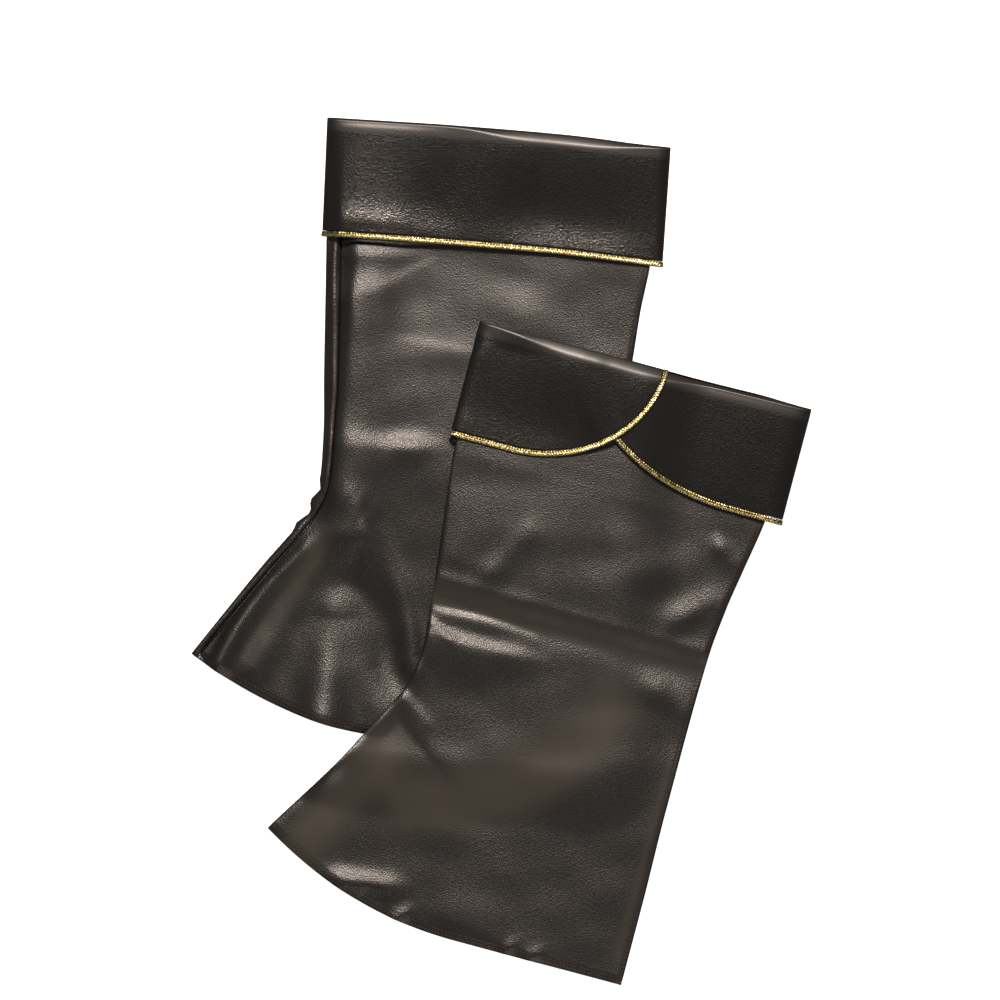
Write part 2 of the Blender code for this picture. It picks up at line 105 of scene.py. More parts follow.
@dataclass(frozen=True)
class Crease:
    """A soft ridge along a slightly bowed line, or a trough where its heights are below zero.

    The height falls off as a bell to each side of the line, with a width of its own on each side, and
    past both ends. The first side is up the cover where the line runs to the right.

    Attributes:
        start: Where the line starts.
        end: Where it ends.
        widths: The bell's width on each side.
        heights: The height at the start and at the end.
        bow: How far the middle of the line stands off towards the second side.
        spread: How many times wider the crease is at its end.
        flat: The bell's power. A higher one has a flatter top.
        ends: How far it fades out past both ends, or 0 for 0.8 of both widths.
    """

    start: tuple[float, float]
    end: tuple[float, float]
    widths: tuple[float, float]
    heights: tuple[float, float]
    bow: float = 0.0
    spread: float = 1.0
    flat: float = 2.0
    ends: float = 0.0

    def at(self, x: Array, y: Array) -> Array:
        """The crease's height at each point.

        Args:
            x: Distances across the cover.
            y: Distances down the cover.

        Returns:
            Height = (h0 + (h1 - h0) s) exp(-|aside / width|^flat) exp(-(past / ends)^2).
        """
        dx, dy = self.end[0] - self.start[0], self.end[1] - self.start[1]
        length = math.hypot(dx, dy)
        ux, uy = dx / length, dy / length
        along = (x - self.start[0]) * ux + (y - self.start[1]) * uy
        share = np.clip(along / length, 0.0, 1.0)
        past = along - share * length
        aside = (x - self.start[0]) * uy - (y - self.start[1]) * ux
        aside = aside - self.bow * 4.0 * share * (1.0 - share)
        width = np.where(aside > 0.0, self.widths[0], self.widths[1]) * (1.0 + (self.spread - 1.0) * share)
        end_width = self.ends or 0.8 * (self.widths[0] + self.widths[1])
        height = self.heights[0] + (self.heights[1] - self.heights[0]) * share
        return height * np.exp(-(np.abs(aside / width) ** self.flat) - (past / end_width) ** 2)


def ramp(value: Array) -> Array:
    """Rises smoothly from 0 to 1: 3 v^2 - 2 v^3."""
    value = np.clip(value, 0.0, 1.0)
    return value * value * (3.0 - 2.0 * value)


def bell(distance: Array, width: float) -> Array:
    """Falls off smoothly from 1 on both sides: exp(-(distance / width)^2)."""
    return np.exp(-((distance / width) ** 2))


def lengths(line: Array) -> Array:
    """How far along a line of points each of them lies."""
    return np.concatenate([[0.0], np.cumsum(np.linalg.norm(np.diff(line, axis=0), axis=1))])


def read(rows: Table, index: int, at: Array) -> Array:
    """Reads a column of a table along its first one, on a smooth curve that doesn't overshoot.

    Args:
        rows: The table.
        index: The column.
        at: Where along the first column.

    Returns:
        A cubic through the rows, with the harmonic mean of the neighbouring slopes at each.
    """
    x = np.array([row[0] for row in rows], float)
    y = np.array([row[index] for row in rows], float)
    width, rise = np.diff(x), np.diff(y)
    slope = rise / width
    tangent = np.concatenate([[slope[0]], np.zeros(len(x) - 2), [slope[-1]]])
    same = slope[1:] * slope[:-1] > 0
    both = np.where(same, slope[1:] + slope[:-1], 1.0)
    tangent[1:-1] = np.where(same, 2.0 * slope[1:] * slope[:-1] / both, 0.0)
    at = np.clip(at, x[0], x[-1])
    i = np.clip(np.searchsorted(x, at, side="right") - 1, 0, len(width) - 1)
    t = (at - x[i]) / width[i]
    bend = tangent[i] * (1.0 - t) - tangent[i + 1] * t
    return y[i] + rise[i] * t * t * (3.0 - 2.0 * t) + width[i] * t * (1.0 - t) * bend


@dataclass(frozen=True)
class CoverSizes:
    """The sizes of one cover as it lies, which repeat those of its solids, and its creases.

    Attributes:
        name: Which cover it is.
        corner: The corner of its frame, in the pair's frame.
        turn_deg: How far it is turned clockwise.
        flaps_up: Whether the cuff's crossed ends are on top.
        length: From the top to the hem at the back.
        hem_rise: How much higher the hem is at the toe.
        hem_share: The share of the hem, from the toe, that rises.
        hem_power: The power by which it rises.
        cuff_edges: The x of the cuff's two side edges by y.
        shin: The shin edge's x by y.
        back: The back edge's x by y.
        seam_in: How far in from the shin edge the seam lies by y, where it shows.
        top_edge: How far down the top of the cover stands by x, which fades out down to top_reach.
        top_reach: How far down that is.
        fold_lift: How far up the fold alone stands by x.
        puff_middle: The x of the middle of the stretch where the cuff's fold is round.
        puff_half: Half the width of that stretch.
        puff_reach: How far down the fold is round there.
        swells: Broad ridges, also where the other cover lies on this one.
        creases: Ridges and troughs of the upper panel.
        cuff_creases: Ridges of the cuff's upper side.
        smoothing_and_painted_reflection: Where the cloth is pulled smooth, with heights from 0 to 1; there
            its grain is flatter and a painted reflection lifts its colour to brown.
    """

    name: str
    corner: tuple[float, float]
    turn_deg: float
    flaps_up: bool
    length: float
    hem_rise: float
    hem_share: float
    hem_power: float
    cuff_edges: Table
    shin: Table
    back: Table
    seam_in: Table
    top_edge: Table
    top_reach: float
    fold_lift: Table
    puff_middle: float
    puff_half: float
    puff_reach: float
    swells: tuple[Crease, ...] = field(default_factory=tuple)
    creases: tuple[Crease, ...] = field(default_factory=tuple)
    cuff_creases: tuple[Crease, ...] = field(default_factory=tuple)
    smoothing_and_painted_reflection: tuple[Crease, ...] = field(default_factory=tuple)


RIGHT = CoverSizes(
    name="right",
    corner=(-113.13, 282.44),
    turn_deg=5.15,
    flaps_up=False,
    length=398,
    hem_rise=42.1,
    hem_share=0.5,
    hem_power=1.93,
    cuff_edges=((0, 0, 224.4), (78, 3.6, 226)),
    shin=(
        (0, 3.2), (78, 6.6), (118, 9.4), (168, 13), (205, 16), (229, 16.6),
        (242, 15.4), (255, 10.8), (267, 3.8), (293, -15), (325, -36.6), (355, -56.6),
    ),
    back=(
        (0, 221.2), (77, 218), (107, 214.6), (138, 212.4), (172, 209.6), (205, 208),
        (278, 206.6), (340, 207.8), (397, 208.6),
    ),
    seam_in=((0, 8.6), (170, 8.6), (200, 6.6), (240, 5.8), (300, 5.2), (355, 3.8)),
    top_edge=((0, 0), (90, -2.2), (150, -2.6), (200, -1), (224.4, 0.3)),
    top_reach=300,
    fold_lift=((0, 0), (188, 0), (224.4, 2.3)),
    puff_middle=150,
    puff_half=46,
    puff_reach=6.4,
    swells=(
        Crease((30, 206), (190, 200), (84, 45), (6, 3.2)),
        Crease((10, 258), (190, 262), (36, 80), (3.8, 3)),
    ),
    creases=(
        Crease((29, 80), (29, 236), (26, 9), (5.2, 5)),
        Crease((12, 104), (13, 190), (4, 5), (2.8, 0.8), ends=20),
        Crease((27, 117), (40, 113), (14, 36), (4, 3.2), ends=18),
        Crease((46, 109), (72, 93), (4, 14), (0.4, 0.6), ends=8),
        Crease((40, 213), (80, 212), (9, 34), (2.7, 2.9), ends=16),
        Crease((69, 210), (75, 209.5), (8, 10), (1.7, 1.7), ends=9),
        Crease((35, 246), (38, 248), (9, 30), (1.4, 1.2), ends=7),
        Crease((37, 266), (41, 268), (24, 16), (3.2, 2.8), ends=9),
        Crease((6, 279), (48, 272), (13, 24), (1.8, 4.4), ends=14),
        Crease((90, 114), (130, 110), (16, 30), (0.9, 1.2)),
        Crease((66, 143), (98, 146), (4, 12), (0.5, 0.6)),
        Crease((50, 156), (90, 152), (16, 40), (1.4, 1)),
        Crease((140, 121), (172, 117), (14, 20), (1.5, 0.4), ends=12),
        Crease((35, 324), (33, 404), (13, 15), (0.8, 11.5), spread=1.5, ends=16),
        Crease((31, 324), (28, 404), (10, 10), (1.6, 3.4), spread=1.5, ends=14),
        Crease((40, 324), (72, 388), (7, 7), (0.8, 4), spread=2.2, ends=12),
        Crease((42, 300), (70, 350), (10, 9), (-2, -2.6), bow=7, spread=1.3, ends=22),
        Crease((46, 262), (86, 346), (6, 9), (1.6, 3), bow=9, ends=24),
        Crease((8, 284), (-39, 360), (7, 3.6), (2.5, 7.4), bow=-5, spread=1.2, ends=10),
        Crease((14, 300), (-16, 360), (9, 7), (0.8, 3), spread=1.2, ends=10),
    ),
    cuff_creases=(
        Crease((24, 62), (44, 63), (40, 18), (4.8, 4.4), ends=26),
        Crease((20, 80), (190, 80), (18, 9), (3.2, 1.4)),
    ),
    # Where the cloth is pulled smooth: its grain is flatter, its gloss less rough, and a painted reflection
    # lifts its colour to brown.
    smoothing_and_painted_reflection=(
        Crease((17, 286), (-15, 348), (7, 7), (0.75, 0.45), spread=0.9, flat=3, ends=16),
    ),
)

LEFT = CoverSizes(
    name="left",
    corner=(-13.63, 150.44),
    turn_deg=15,
    flaps_up=True,
    length=394.2,
    hem_rise=39.2,
    hem_share=0.55,
    hem_power=2.1,
    cuff_edges=((0, 0, 223.4), (78, 0.3, 223.7)),
    shin=(
        (0, 3), (79, 5), (144, 12), (187, 16.6), (214, 18.8), (230, 18),
        (243, 14.4), (264, 4.9), (281, -4.6), (300, -14.8), (354.5, -48.4),
    ),
    back=(
        (0, 220.4), (80, 212.8), (113, 207.7), (141, 203.4), (175, 200.4), (223, 199.6),
        (277, 199.6), (339, 200.6), (394, 200.8),
    ),
    seam_in=(),
    top_edge=((0, 0), (120, 0.4), (224, 1.7)),
    top_reach=170,
    fold_lift=((0, 0), (130, 0.3), (224, 3.1)),
    puff_middle=84,
    puff_half=54,
    puff_reach=7.2,
    swells=(
        Crease((16, 166), (190, 168), (70, 10), (2.4, 2)),
        Crease((44, 306), (150, 284), (40, 40), (2.4, 2.6), bow=-12),
    ),
    creases=(
        Crease((8, 170), (204, 173), (6, 9), (0.9, 0.6)),
        Crease((12, 183), (198, 184), (7, 9), (-1.5, -1.1)),
        Crease((26, 190), (84, 191), (2.8, 7), (1.9, 0.7), bow=1.5),
        Crease((20, 206), (74, 206), (7, 14), (3.8, 3), bow=-1.5, ends=20),
        Crease((18, 197), (34, 205), (3, 3), (1.4, 0.6)),
        Crease((24, 222), (70, 226), (10, 14), (1.6, 0.4)),
        Crease((176, 204), (190, 209), (9, 9), (2.2, 1.4)),
        Crease((190, 103), (196, 108), (5, 6), (2, 1)),
        Crease((178, 152), (188, 142), (10, 8), (2.4, 1.4)),
        Crease((150, 128), (166, 118), (14, 14), (1.9, 1.6)),
        Crease((50, 156), (64, 130), (7, 10), (1.4, 1)),
        Crease((66, 116), (104, 112), (20, 24), (1.8, 1.1)),
        Crease((26, 152), (48, 154), (18, 8), (1, 0.8), ends=10),
        Crease((90, 158), (112, 152), (12, 12), (1, 0.8)),
        Crease((16, 250), (32, 261), (3.6, 6), (2, 0.8)),
        Crease((18, 268), (46, 288), (5, 16), (-2, -1)),
        Crease((9, 375), (34, 371.5), (7, 8), (3.9, 3), ends=13),
        Crease((26, 379), (34, 381), (5, 5), (-1, -1), ends=5),
        Crease((48, 391), (52, 386), (5, 3), (3, 1.6)),
        Crease((122, 392), (124, 388), (3.4, 3), (1.8, 1)),
        Crease((138, 393), (141, 389), (4, 4), (1.5, 1)),
        Crease((90, 330), (150, 340), (16, 30), (0.6, 0.8)),
        Crease((88, 380), (130, 386), (38, 12), (2.6, 2.4), ends=20),
    ),
    cuff_creases=(
        Crease((150, 56), (200, 56), (34, 24), (2.2, 1.8)),
    ),
    # Where the cloth is pulled smooth: its grain is flatter, its gloss less rough, and a painted reflection
    # lifts its colour to brown.
    smoothing_and_painted_reflection=(
        Crease((10, 178), (198, 181), (9, 8), (0.62, 0.58), flat=4),
        Crease((152, 224), (34, 318), (17, 30), (0.8, 0.9), flat=3, bow=20, ends=14),
        Crease((8, 286), (-20, 350), (18, 14), (0.8, 0.9), flat=3),
        Crease((194, 250), (193, 376), (3.4, 3.4), (0.5, 0.5)),
    ),
)


@dataclass(frozen=True)
class CoverForm:
    """The surfaces of a cover's layers, worked out from its sizes.

    Attributes:
        sizes: The cover's sizes.
        below: The form of the cover that this one lies over.
        above: The form of the cover whose weight flattens this one's creases.
        room_at_fold: The height between the panels at the top.
        room_at_edge: The same near the side edges.
        room_inside: The same in the middle.
        room_least: The least height that a trough leaves.
        room_most: The most height that a ridge gives.
        fold_rise: How far down the room changes from its height at the top to its own.
        cuff_hold: How far down the cuff holds the body flat.
        edge_rise: How far in from a side edge the room changes to its height inside.
        step_fall: How far past a folded part the cloth over it comes down.
        cover_fall: How far past the other cover the cloth over it comes down.
        cover_rest: How far past its outline that starts.
        softening: The circles over which the edges of folded parts are softened.
        wave_rows: The cloth's slight waves, each by its length, angle, height and phase.
    """

    sizes: CoverSizes
    below: "CoverForm | None" = None
    above: "CoverForm | None" = None
    room_at_fold: float = 2.3
    room_at_edge: float = 1.9
    room_inside: float = 2.6
    room_least: float = 0.4
    room_most: float = 20.0
    fold_rise: float = 30.0
    cuff_hold: float = 70.0
    edge_rise: float = 35.0
    step_fall: float = 32.0
    cover_fall: float = 45.0
    cover_rest: float = 8.0
    softening: tuple[float, float] = (8.0, 16.0)
    wave_rows: Table = (
        (57.0, 0.4, 0.20, 0.3), (37.0, 1.9, 0.13, 2.1), (26.0, 1.2, 0.07, 4.0), (19.0, 2.7, 0.04, 5.2),
    )

    def shin_x(self, y: Array) -> Array:
        """The shin edge's x at each y."""
        return read(self.sizes.shin, 1, y)

    def back_x(self, y: Array) -> Array:
        """The back edge's x at each y."""
        return read(self.sizes.back, 1, y)

    def hem_line(self, share: Array) -> Array:
        """The share of the hem's rise at a share of the way from toe to heel: (1 - s / reach)^power."""
        return np.clip(1.0 - share / self.sizes.hem_share, 0.0, 1.0) ** self.sizes.hem_power

    def hem_y(self, x: Array) -> Array:
        """How far down the hem lies at each x."""
        toe, heel = self.sizes.shin[-1][1] + CLOTH / 2, self.sizes.back[-1][1] - CLOTH / 2
        share = np.clip((x - toe) / (heel - toe), 0.0, 1.0)
        return self.sizes.length - self.sizes.hem_rise * self.hem_line(share)

    def rise_at(self, down: Array) -> Array:
        """How far a row's end at the shin lies above its end at the back."""
        return self.sizes.hem_rise * ramp((down / self.sizes.length - 0.42) / 0.58)

    def outline(self) -> Array:
        """The outline below the cuff, as points all round it."""
        down = np.linspace(BODY_TOP_Y, self.sizes.length, 60)
        shin_y = down - self.rise_at(down)
        share = np.linspace(0.0, 1.0, 40)
        shin = np.stack([self.shin_x(shin_y), shin_y], 1)
        back = np.stack([self.back_x(down), down], 1)
        hem_x = shin[-1, 0] + (back[-1, 0] - shin[-1, 0]) * share
        hem = np.stack([hem_x, self.sizes.length - self.sizes.hem_rise * self.hem_line(share)], 1)
        return np.concatenate([shin, hem[1:-1], back[::-1]])

    def depth_inside(self, x: Array, y: Array) -> Array:
        """The distance from each point to the outline, above zero inside it."""
        a = self.outline()
        b = np.roll(a, -1, axis=0)
        d = b - a
        px, py = x.ravel()[:, None], y.ravel()[:, None]
        t = (px - a[:, 0]) * d[:, 0] + (py - a[:, 1]) * d[:, 1]
        t = np.clip(t / np.maximum((d * d).sum(1), 1e-12), 0.0, 1.0)
        away = np.hypot(px - a[:, 0] - t * d[:, 0], py - a[:, 1] - t * d[:, 1]).min(-1)
        height = np.where(np.abs(d[:, 1]) < 1e-9, 1e-9, d[:, 1])
        spans = (a[:, 1] > py) != (b[:, 1] > py)
        inside = (spans & (px < a[:, 0] + (py - a[:, 1]) * d[:, 0] / height)).sum(-1) % 2 == 1
        return np.where(inside, away, -away).reshape(x.shape)

    def to_pair(self, x: Array, y: Array) -> tuple[Array, Array]:
        """Points of this cover's frame in the pair's frame, in millimetres."""
        turn = math.radians(self.sizes.turn_deg)
        across, down = (math.cos(turn), -math.sin(turn)), (-math.sin(turn), -math.cos(turn))
        return (
            self.sizes.corner[0] + x * across[0] + y * down[0],
            self.sizes.corner[1] + x * across[1] + y * down[1],
        )

    def from_pair(self, px: Array, py: Array) -> tuple[Array, Array]:
        """Points of the pair's frame in this cover's frame, in millimetres."""
        turn = math.radians(self.sizes.turn_deg)
        dx, dy = px - self.sizes.corner[0], py - self.sizes.corner[1]
        return dx * math.cos(turn) - dy * math.sin(turn), -dx * math.sin(turn) - dy * math.cos(turn)

    def place(self, points: Array) -> Array:
        """Points of this cover's frame in the pair's frame, in metres, with its top edge bent.

        Args:
            points: Points with x, y and z on the last axis.

        Returns:
            The same points, placed.
        """
        x, y, z = points[..., 0], points[..., 1], points[..., 2]
        y = y + read(self.sizes.top_edge, 1, x) * (1.0 - ramp(y / self.sizes.top_reach))
        y = y - read(self.sizes.fold_lift, 1, x) * (1.0 - ramp(y / 60.0))
        px, py = self.to_pair(x, y)
        return np.stack([px, py, z], -1) * MM

    def flap_depth(self, part: CuffPart, x: Array, y: Array) -> Array:
        """How far each point lies inside the middle of a cuff part's braid.

        For a flap it is the distance to an ellipse, to first order; for the plain side, to a line.
        """
        if part is CuffPart.PLAIN:
            return BRAID_Y - y + 0.0 * x
        start, reach = SHIN_FLAP if part is CuffPart.SHIN else BACK_FLAP
        over = np.clip(x - start if part is CuffPart.SHIN else start - x, 0.0, None) / reach
        ring = np.hypot(over, y / BRAID_Y)
        steep = np.hypot(over / reach, y / BRAID_Y**2) / np.maximum(ring, 1e-6)
        return (1.0 - ring) / np.maximum(steep, 1e-6)

    def lift(self, part: CuffPart, x: Array, y: Array) -> Array:
        """How much a cuff part, with the thicker braid at its edge, raises the cloth that lies over it."""
        depth = self.flap_depth(part, x, y)
        braid = 1.0 - ramp((np.abs(depth) - 4.0) / 10.0)
        layer = CLOTH + LAYER_GAP + (BRAID_THICK - CLOTH + 0.2) * braid
        return layer * ramp((depth + BRAID_WIDTH + self.step_fall) / self.step_fall)

    def room(self, x: Array, y: Array) -> Array:
        """The height of the room between the two panels, with the creases in it.

        Args:
            x: Distances across.
            y: Distances down.

        Returns:
            The height. Below 2 mm it nears the least room by an exponential, and high up the most by a
            hyperbolic tangent. Towards the top it goes over to the height at the fold.
        """
        edge = np.minimum(x - self.shin_x(y), self.back_x(y) - x)
        wanted = self.room_at_edge + (self.room_inside - self.room_at_edge) * ramp(edge / self.edge_rise)
        creased = sum((crease.at(x, y) for crease in self.sizes.creases), self.unevenness(x, y))
        if self.above:
            depth = self.above.depth_inside(*self.above.from_pair(*self.to_pair(x, y)))
            creased = creased * (1.0 - ramp((depth + 1.0) / 14.0))
        creased = creased + sum((swell.at(x, y) for swell in self.sizes.swells), 0.0 * x)
        wanted = wanted + creased * ramp((y - self.cuff_hold) / 20.0)
        middle, half = (self.room_most + self.room_least) / 2, (self.room_most - self.room_least) / 2
        low = 2.0 - self.room_least
        held = np.where(wanted < 2.0, self.room_least + low * np.exp((wanted - 2.0) / low), wanted)
        held = np.minimum(held, middle + half * np.tanh((held - middle) / half) + 0.3)
        faded = 1.0 - np.exp(-(y - BODY_TOP_Y) / self.fold_rise)
        return self.room_at_fold + (held - self.room_at_fold) * faded

    def unevenness(self, x: Array, y: Array) -> Array:
        """The cloth's own slight waves: sines of a length, angle, height and phase, slightly bent."""
        total = 0.0 * x
        for length, angle, height, phase in self.wave_rows:
            run = x * math.cos(angle) + y * math.sin(angle) + 6.0 * np.sin((x - y) / 41.0 + phase)
            total = total + height * np.sin(2.0 * math.pi * run / length + phase)
        return total

    def support(self, x: Array, y: Array) -> Array:
        """What lies under the cover: the table, or the other cover with a slope down to the table."""
        if self.below is None:
            return 0.0 * x
        px, py = self.to_pair(x, y)
        rx, ry = self.below.from_pair(px, py)
        depth = self.below.depth_inside(rx, ry)
        top = self.below.upper(rx, np.clip(ry, BODY_TOP_Y, self.below.sizes.length)) + CLOTH / 2
        return (top + COVER_GAP) * ramp((depth + self.cover_fall + self.cover_rest) / self.cover_fall)

    def folded_under(self, x: Array, y: Array) -> Array:
        """How much the parts of the cuff folded under the cover raise it."""
        parts = (CuffPart.PLAIN,) if self.sizes.flaps_up else (CuffPart.SHIN, CuffPart.BACK)
        return sum((self.lift(part, x, y) for part in parts), 0.0 * x)

    def under(self, x: Array, y: Array) -> Array:
        """The height of the middle of the under panel's cloth, away from its edges."""
        return self.support(x, y) + self.folded_under(x, y) + CLOTH / 2

    def upper(self, x: Array, y: Array) -> Array:
        """The height of the middle of the upper panel's cloth, away from its edges.

        The edges of what is folded under it show through softened: it follows their mean over twelve
        points on two circles round each point.
        """
        turns = np.linspace(0.0, 2.0 * math.pi, 6, endpoint=False)
        around = [(r * math.cos(t + r), r * math.sin(t + r)) for r in self.softening for t in turns]
        soft = sum((self.folded_under(x + dx, y + dy) for dx, dy in around), 0.0 * x) / len(around)
        return self.support(x, y) + soft + CLOTH * 1.5 + self.room(x, y)


def rolled(low: Array, high: Array, side: Array, distance: Array, radius: Array) -> Array:
    """A skin that meets the other one at an edge, both rolled like an ellipse there.

    Args:
        low: The under skin's height away from the edge.
        high: The upper skin's height away from the edge.
        side: 1 on the upper skin and -1 on the under one.
        distance: How far in from the edge.
        radius: How far in the roll ends.

    Returns:
        Height = middle + side (half height) sqrt(1 - (1 - distance / radius)^2).
    """
    share = np.sqrt(1.0 - (1.0 - np.clip(distance / radius, 0.0, 1.0)) ** 2)
    return (low + high) / 2 + side * (high - low) / 2 * share


def run(start: float, stop: float, step: float, close: tuple[float, ...] = ()) -> Array:
    """Distances from start to stop, about a step apart, and closer ones at both ends.

    Args:
        start: The first distance.
        stop: The last one.
        step: How far they are apart.
        close: More distances in from each end.

    Returns:
        The distances, in order.
    """
    inner = close[-1] if close else 0.0
    count = max(2, int(round((stop - start - 2 * inner) / step)) + 1)
    middle = np.linspace(start + inner, stop - inner, count)
    if not close:
        return middle
    first = np.array((0.0,) + close[:-1])
    return np.concatenate([start + first, middle, (stop - first)[::-1]])


def unit(v: Array) -> Array:
    """Vectors of length 1, along the last axis."""
    return v / np.maximum(np.linalg.norm(v, axis=-1, keepdims=True), 1e-12)


def grid_normals(points: Array) -> Array:
    """The normal at each point of a grid: the cross of its differences along columns and rows."""
    across = np.gradient(points, axis=1)
    down = np.gradient(points, axis=0)
    return unit(np.cross(across, down))


def mesh_object(name: str, points: Array, faces: Array, smooth_deg: float = 40.0) -> bpy.types.Object:
    """A mesh object at the origin.

    Args:
        name: The object's name.
        points: Its points, in metres.
        faces: Its four-sided faces, as rows of point numbers.
        smooth_deg: Edges that turn by more than this stay sharp.

    Returns:
        The object, linked to the scene.
    """
    mesh = bpy.data.meshes.new(name)
    mesh.vertices.add(len(points))
    mesh.vertices.foreach_set("co", np.ascontiguousarray(points, dtype=np.float32).ravel())
    mesh.loops.add(faces.size)
    mesh.loops.foreach_set("vertex_index", np.ascontiguousarray(faces, dtype=np.int32).ravel())
    mesh.polygons.add(len(faces))
    mesh.polygons.foreach_set("loop_start", np.arange(0, faces.size, faces.shape[1], dtype=np.int32))
    mesh.update(calc_edges=True)
    mesh.validate()
    mesh.shade_smooth()
    mesh.set_sharp_from_angle(angle=math.radians(smooth_deg))
    made = bpy.data.objects.new(name, mesh)
    bpy.context.scene.collection.objects.link(made)
    return made


def wall(name: str, form: CoverForm, middle: Array, smoothing_and_reflection: Array) -> bpy.types.Object:
    """A piece of cloth: two skins, half its thickness to each side of its middle, closed round the rim.

    Near the rim the skins draw together on a quarter circle, as a turned edge does.

    Args:
        name: The object's name.
        form: The cover that it belongs to.
        middle: The points of its middle, by row and column, in the cover's frame.
        smoothing_and_reflection: How much the cloth is pulled smooth at each of them, which also sets the
            painted reflection in its colour.

    Returns:
        The object.
    """
    rows, columns = middle.shape[:2]
    count = rows * columns
    along, across = lengths(middle[:, columns // 2]), lengths(middle[rows // 2])
    rim = np.minimum(np.minimum(along, along[-1] - along)[:, None], np.minimum(across, across[-1] - across))
    half = SHOWN_CLOTH / 2 * (0.25 + 0.75 * np.sqrt(1.0 - (1.0 - np.clip(rim / RIM, 0.0, 1.0)) ** 2))
    placed = form.place(middle)
    normal = grid_normals(placed)
    out = half[..., None] * MM * normal
    skins = np.concatenate([(placed + out).reshape(-1, 3), (placed - out).reshape(-1, 3)])
    index = np.arange(count).reshape(rows, columns)
    quads = np.stack([index[:-1, :-1], index[:-1, 1:], index[1:, 1:], index[1:, :-1]], -1).reshape(-1, 4)
    loop = np.concatenate([index[0, :-1], index[:-1, -1], index[-1, :0:-1], index[:0:-1, 0]])
    ahead = np.roll(loop, -1)
    closing = np.stack([ahead, loop, loop + count, ahead + count], -1)
    made = mesh_object(name, skins, np.concatenate([quads, quads[:, ::-1] + count, closing]), 50.0)
    # How much the cloth is pulled smooth at each point, which also sets the painted reflection in its colour.
    set_values(made, "smoothing_and_painted_reflection", np.tile(smoothing_and_reflection.ravel(), 2))
    return made


def set_values(piece: bpy.types.Object, key: str, values: Array) -> None:
    """Stores a value at each point of a mesh, for its material."""
    attribute = piece.data.attributes.new(key, "FLOAT", "POINT")
    attribute.data.foreach_set("value", values.astype(np.float32))


def ring_faces(count: int, sides: int) -> Array:
    """The faces of a tube of rings, each between two points of a ring and the same two of the next."""
    index = np.arange(count * sides).reshape(count, sides)
    ahead = np.roll(index, -1, axis=1)
    return np.stack([index[:-1], index[1:], ahead[1:], ahead[:-1]], -1).reshape(-1, 4)


def outward(piece: bpy.types.Object) -> None:
    """Merges doubles, and turns the faces of a closed piece outwards if its signed volume is negative."""
    work = bmesh.new()
    work.from_mesh(piece.data)
    bmesh.ops.remove_doubles(work, verts=work.verts, dist=1e-7)
    if work.calc_volume(signed=True) < 0.0:
        bmesh.ops.reverse_faces(work, faces=work.faces)
    work.to_mesh(piece.data)
    work.free()


def linear(hex_colour: str) -> tuple[float, float, float, float]:
    """An sRGB hex colour as linear light, with an alpha of 1."""
    shares = np.array([int(hex_colour[i:i + 2], 16) for i in (1, 3, 5)]) / 255.0
    light = np.where(shares <= 0.04045, shares / 12.92, ((shares + 0.055) / 1.055) ** 2.4)
    return (*light.tolist(), 1.0)


def add_node(tree: bpy.types.NodeTree, kind: str, settings: dict, links: dict) -> bpy.types.Node:
    """Adds a node.

    Args:
        tree: The material's node tree.
        kind: The node's type.
        settings: Values by socket name or number, or by property name.
        links: The output that feeds each input, by the input's name or number.

    Returns:
        The node.
    """
    node = tree.nodes.new(kind)
    for key, value in settings.items():
        if isinstance(key, str) and hasattr(node, key):
            setattr(node, key, value)
        else:
            node.inputs[key].default_value = value
    for key, output in links.items():
        tree.links.new(output, node.inputs[key])
    return node


def new_material(name: str) -> tuple[bpy.types.Material, bpy.types.NodeTree, bpy.types.Node]:
    """An empty node material with a Principled shader on its output."""
    material = bpy.data.materials.new(name)
    material.use_nodes = True
    tree = material.node_tree
    return material, tree, tree.nodes["Principled BSDF"]


def feed(tree: bpy.types.NodeTree, shader: bpy.types.Node, outputs: dict[str, bpy.types.NodeSocket]) -> None:
    """Links an output to each named input of the shader."""
    for key, output in outputs.items():
        tree.links.new(output, shader.inputs[key])


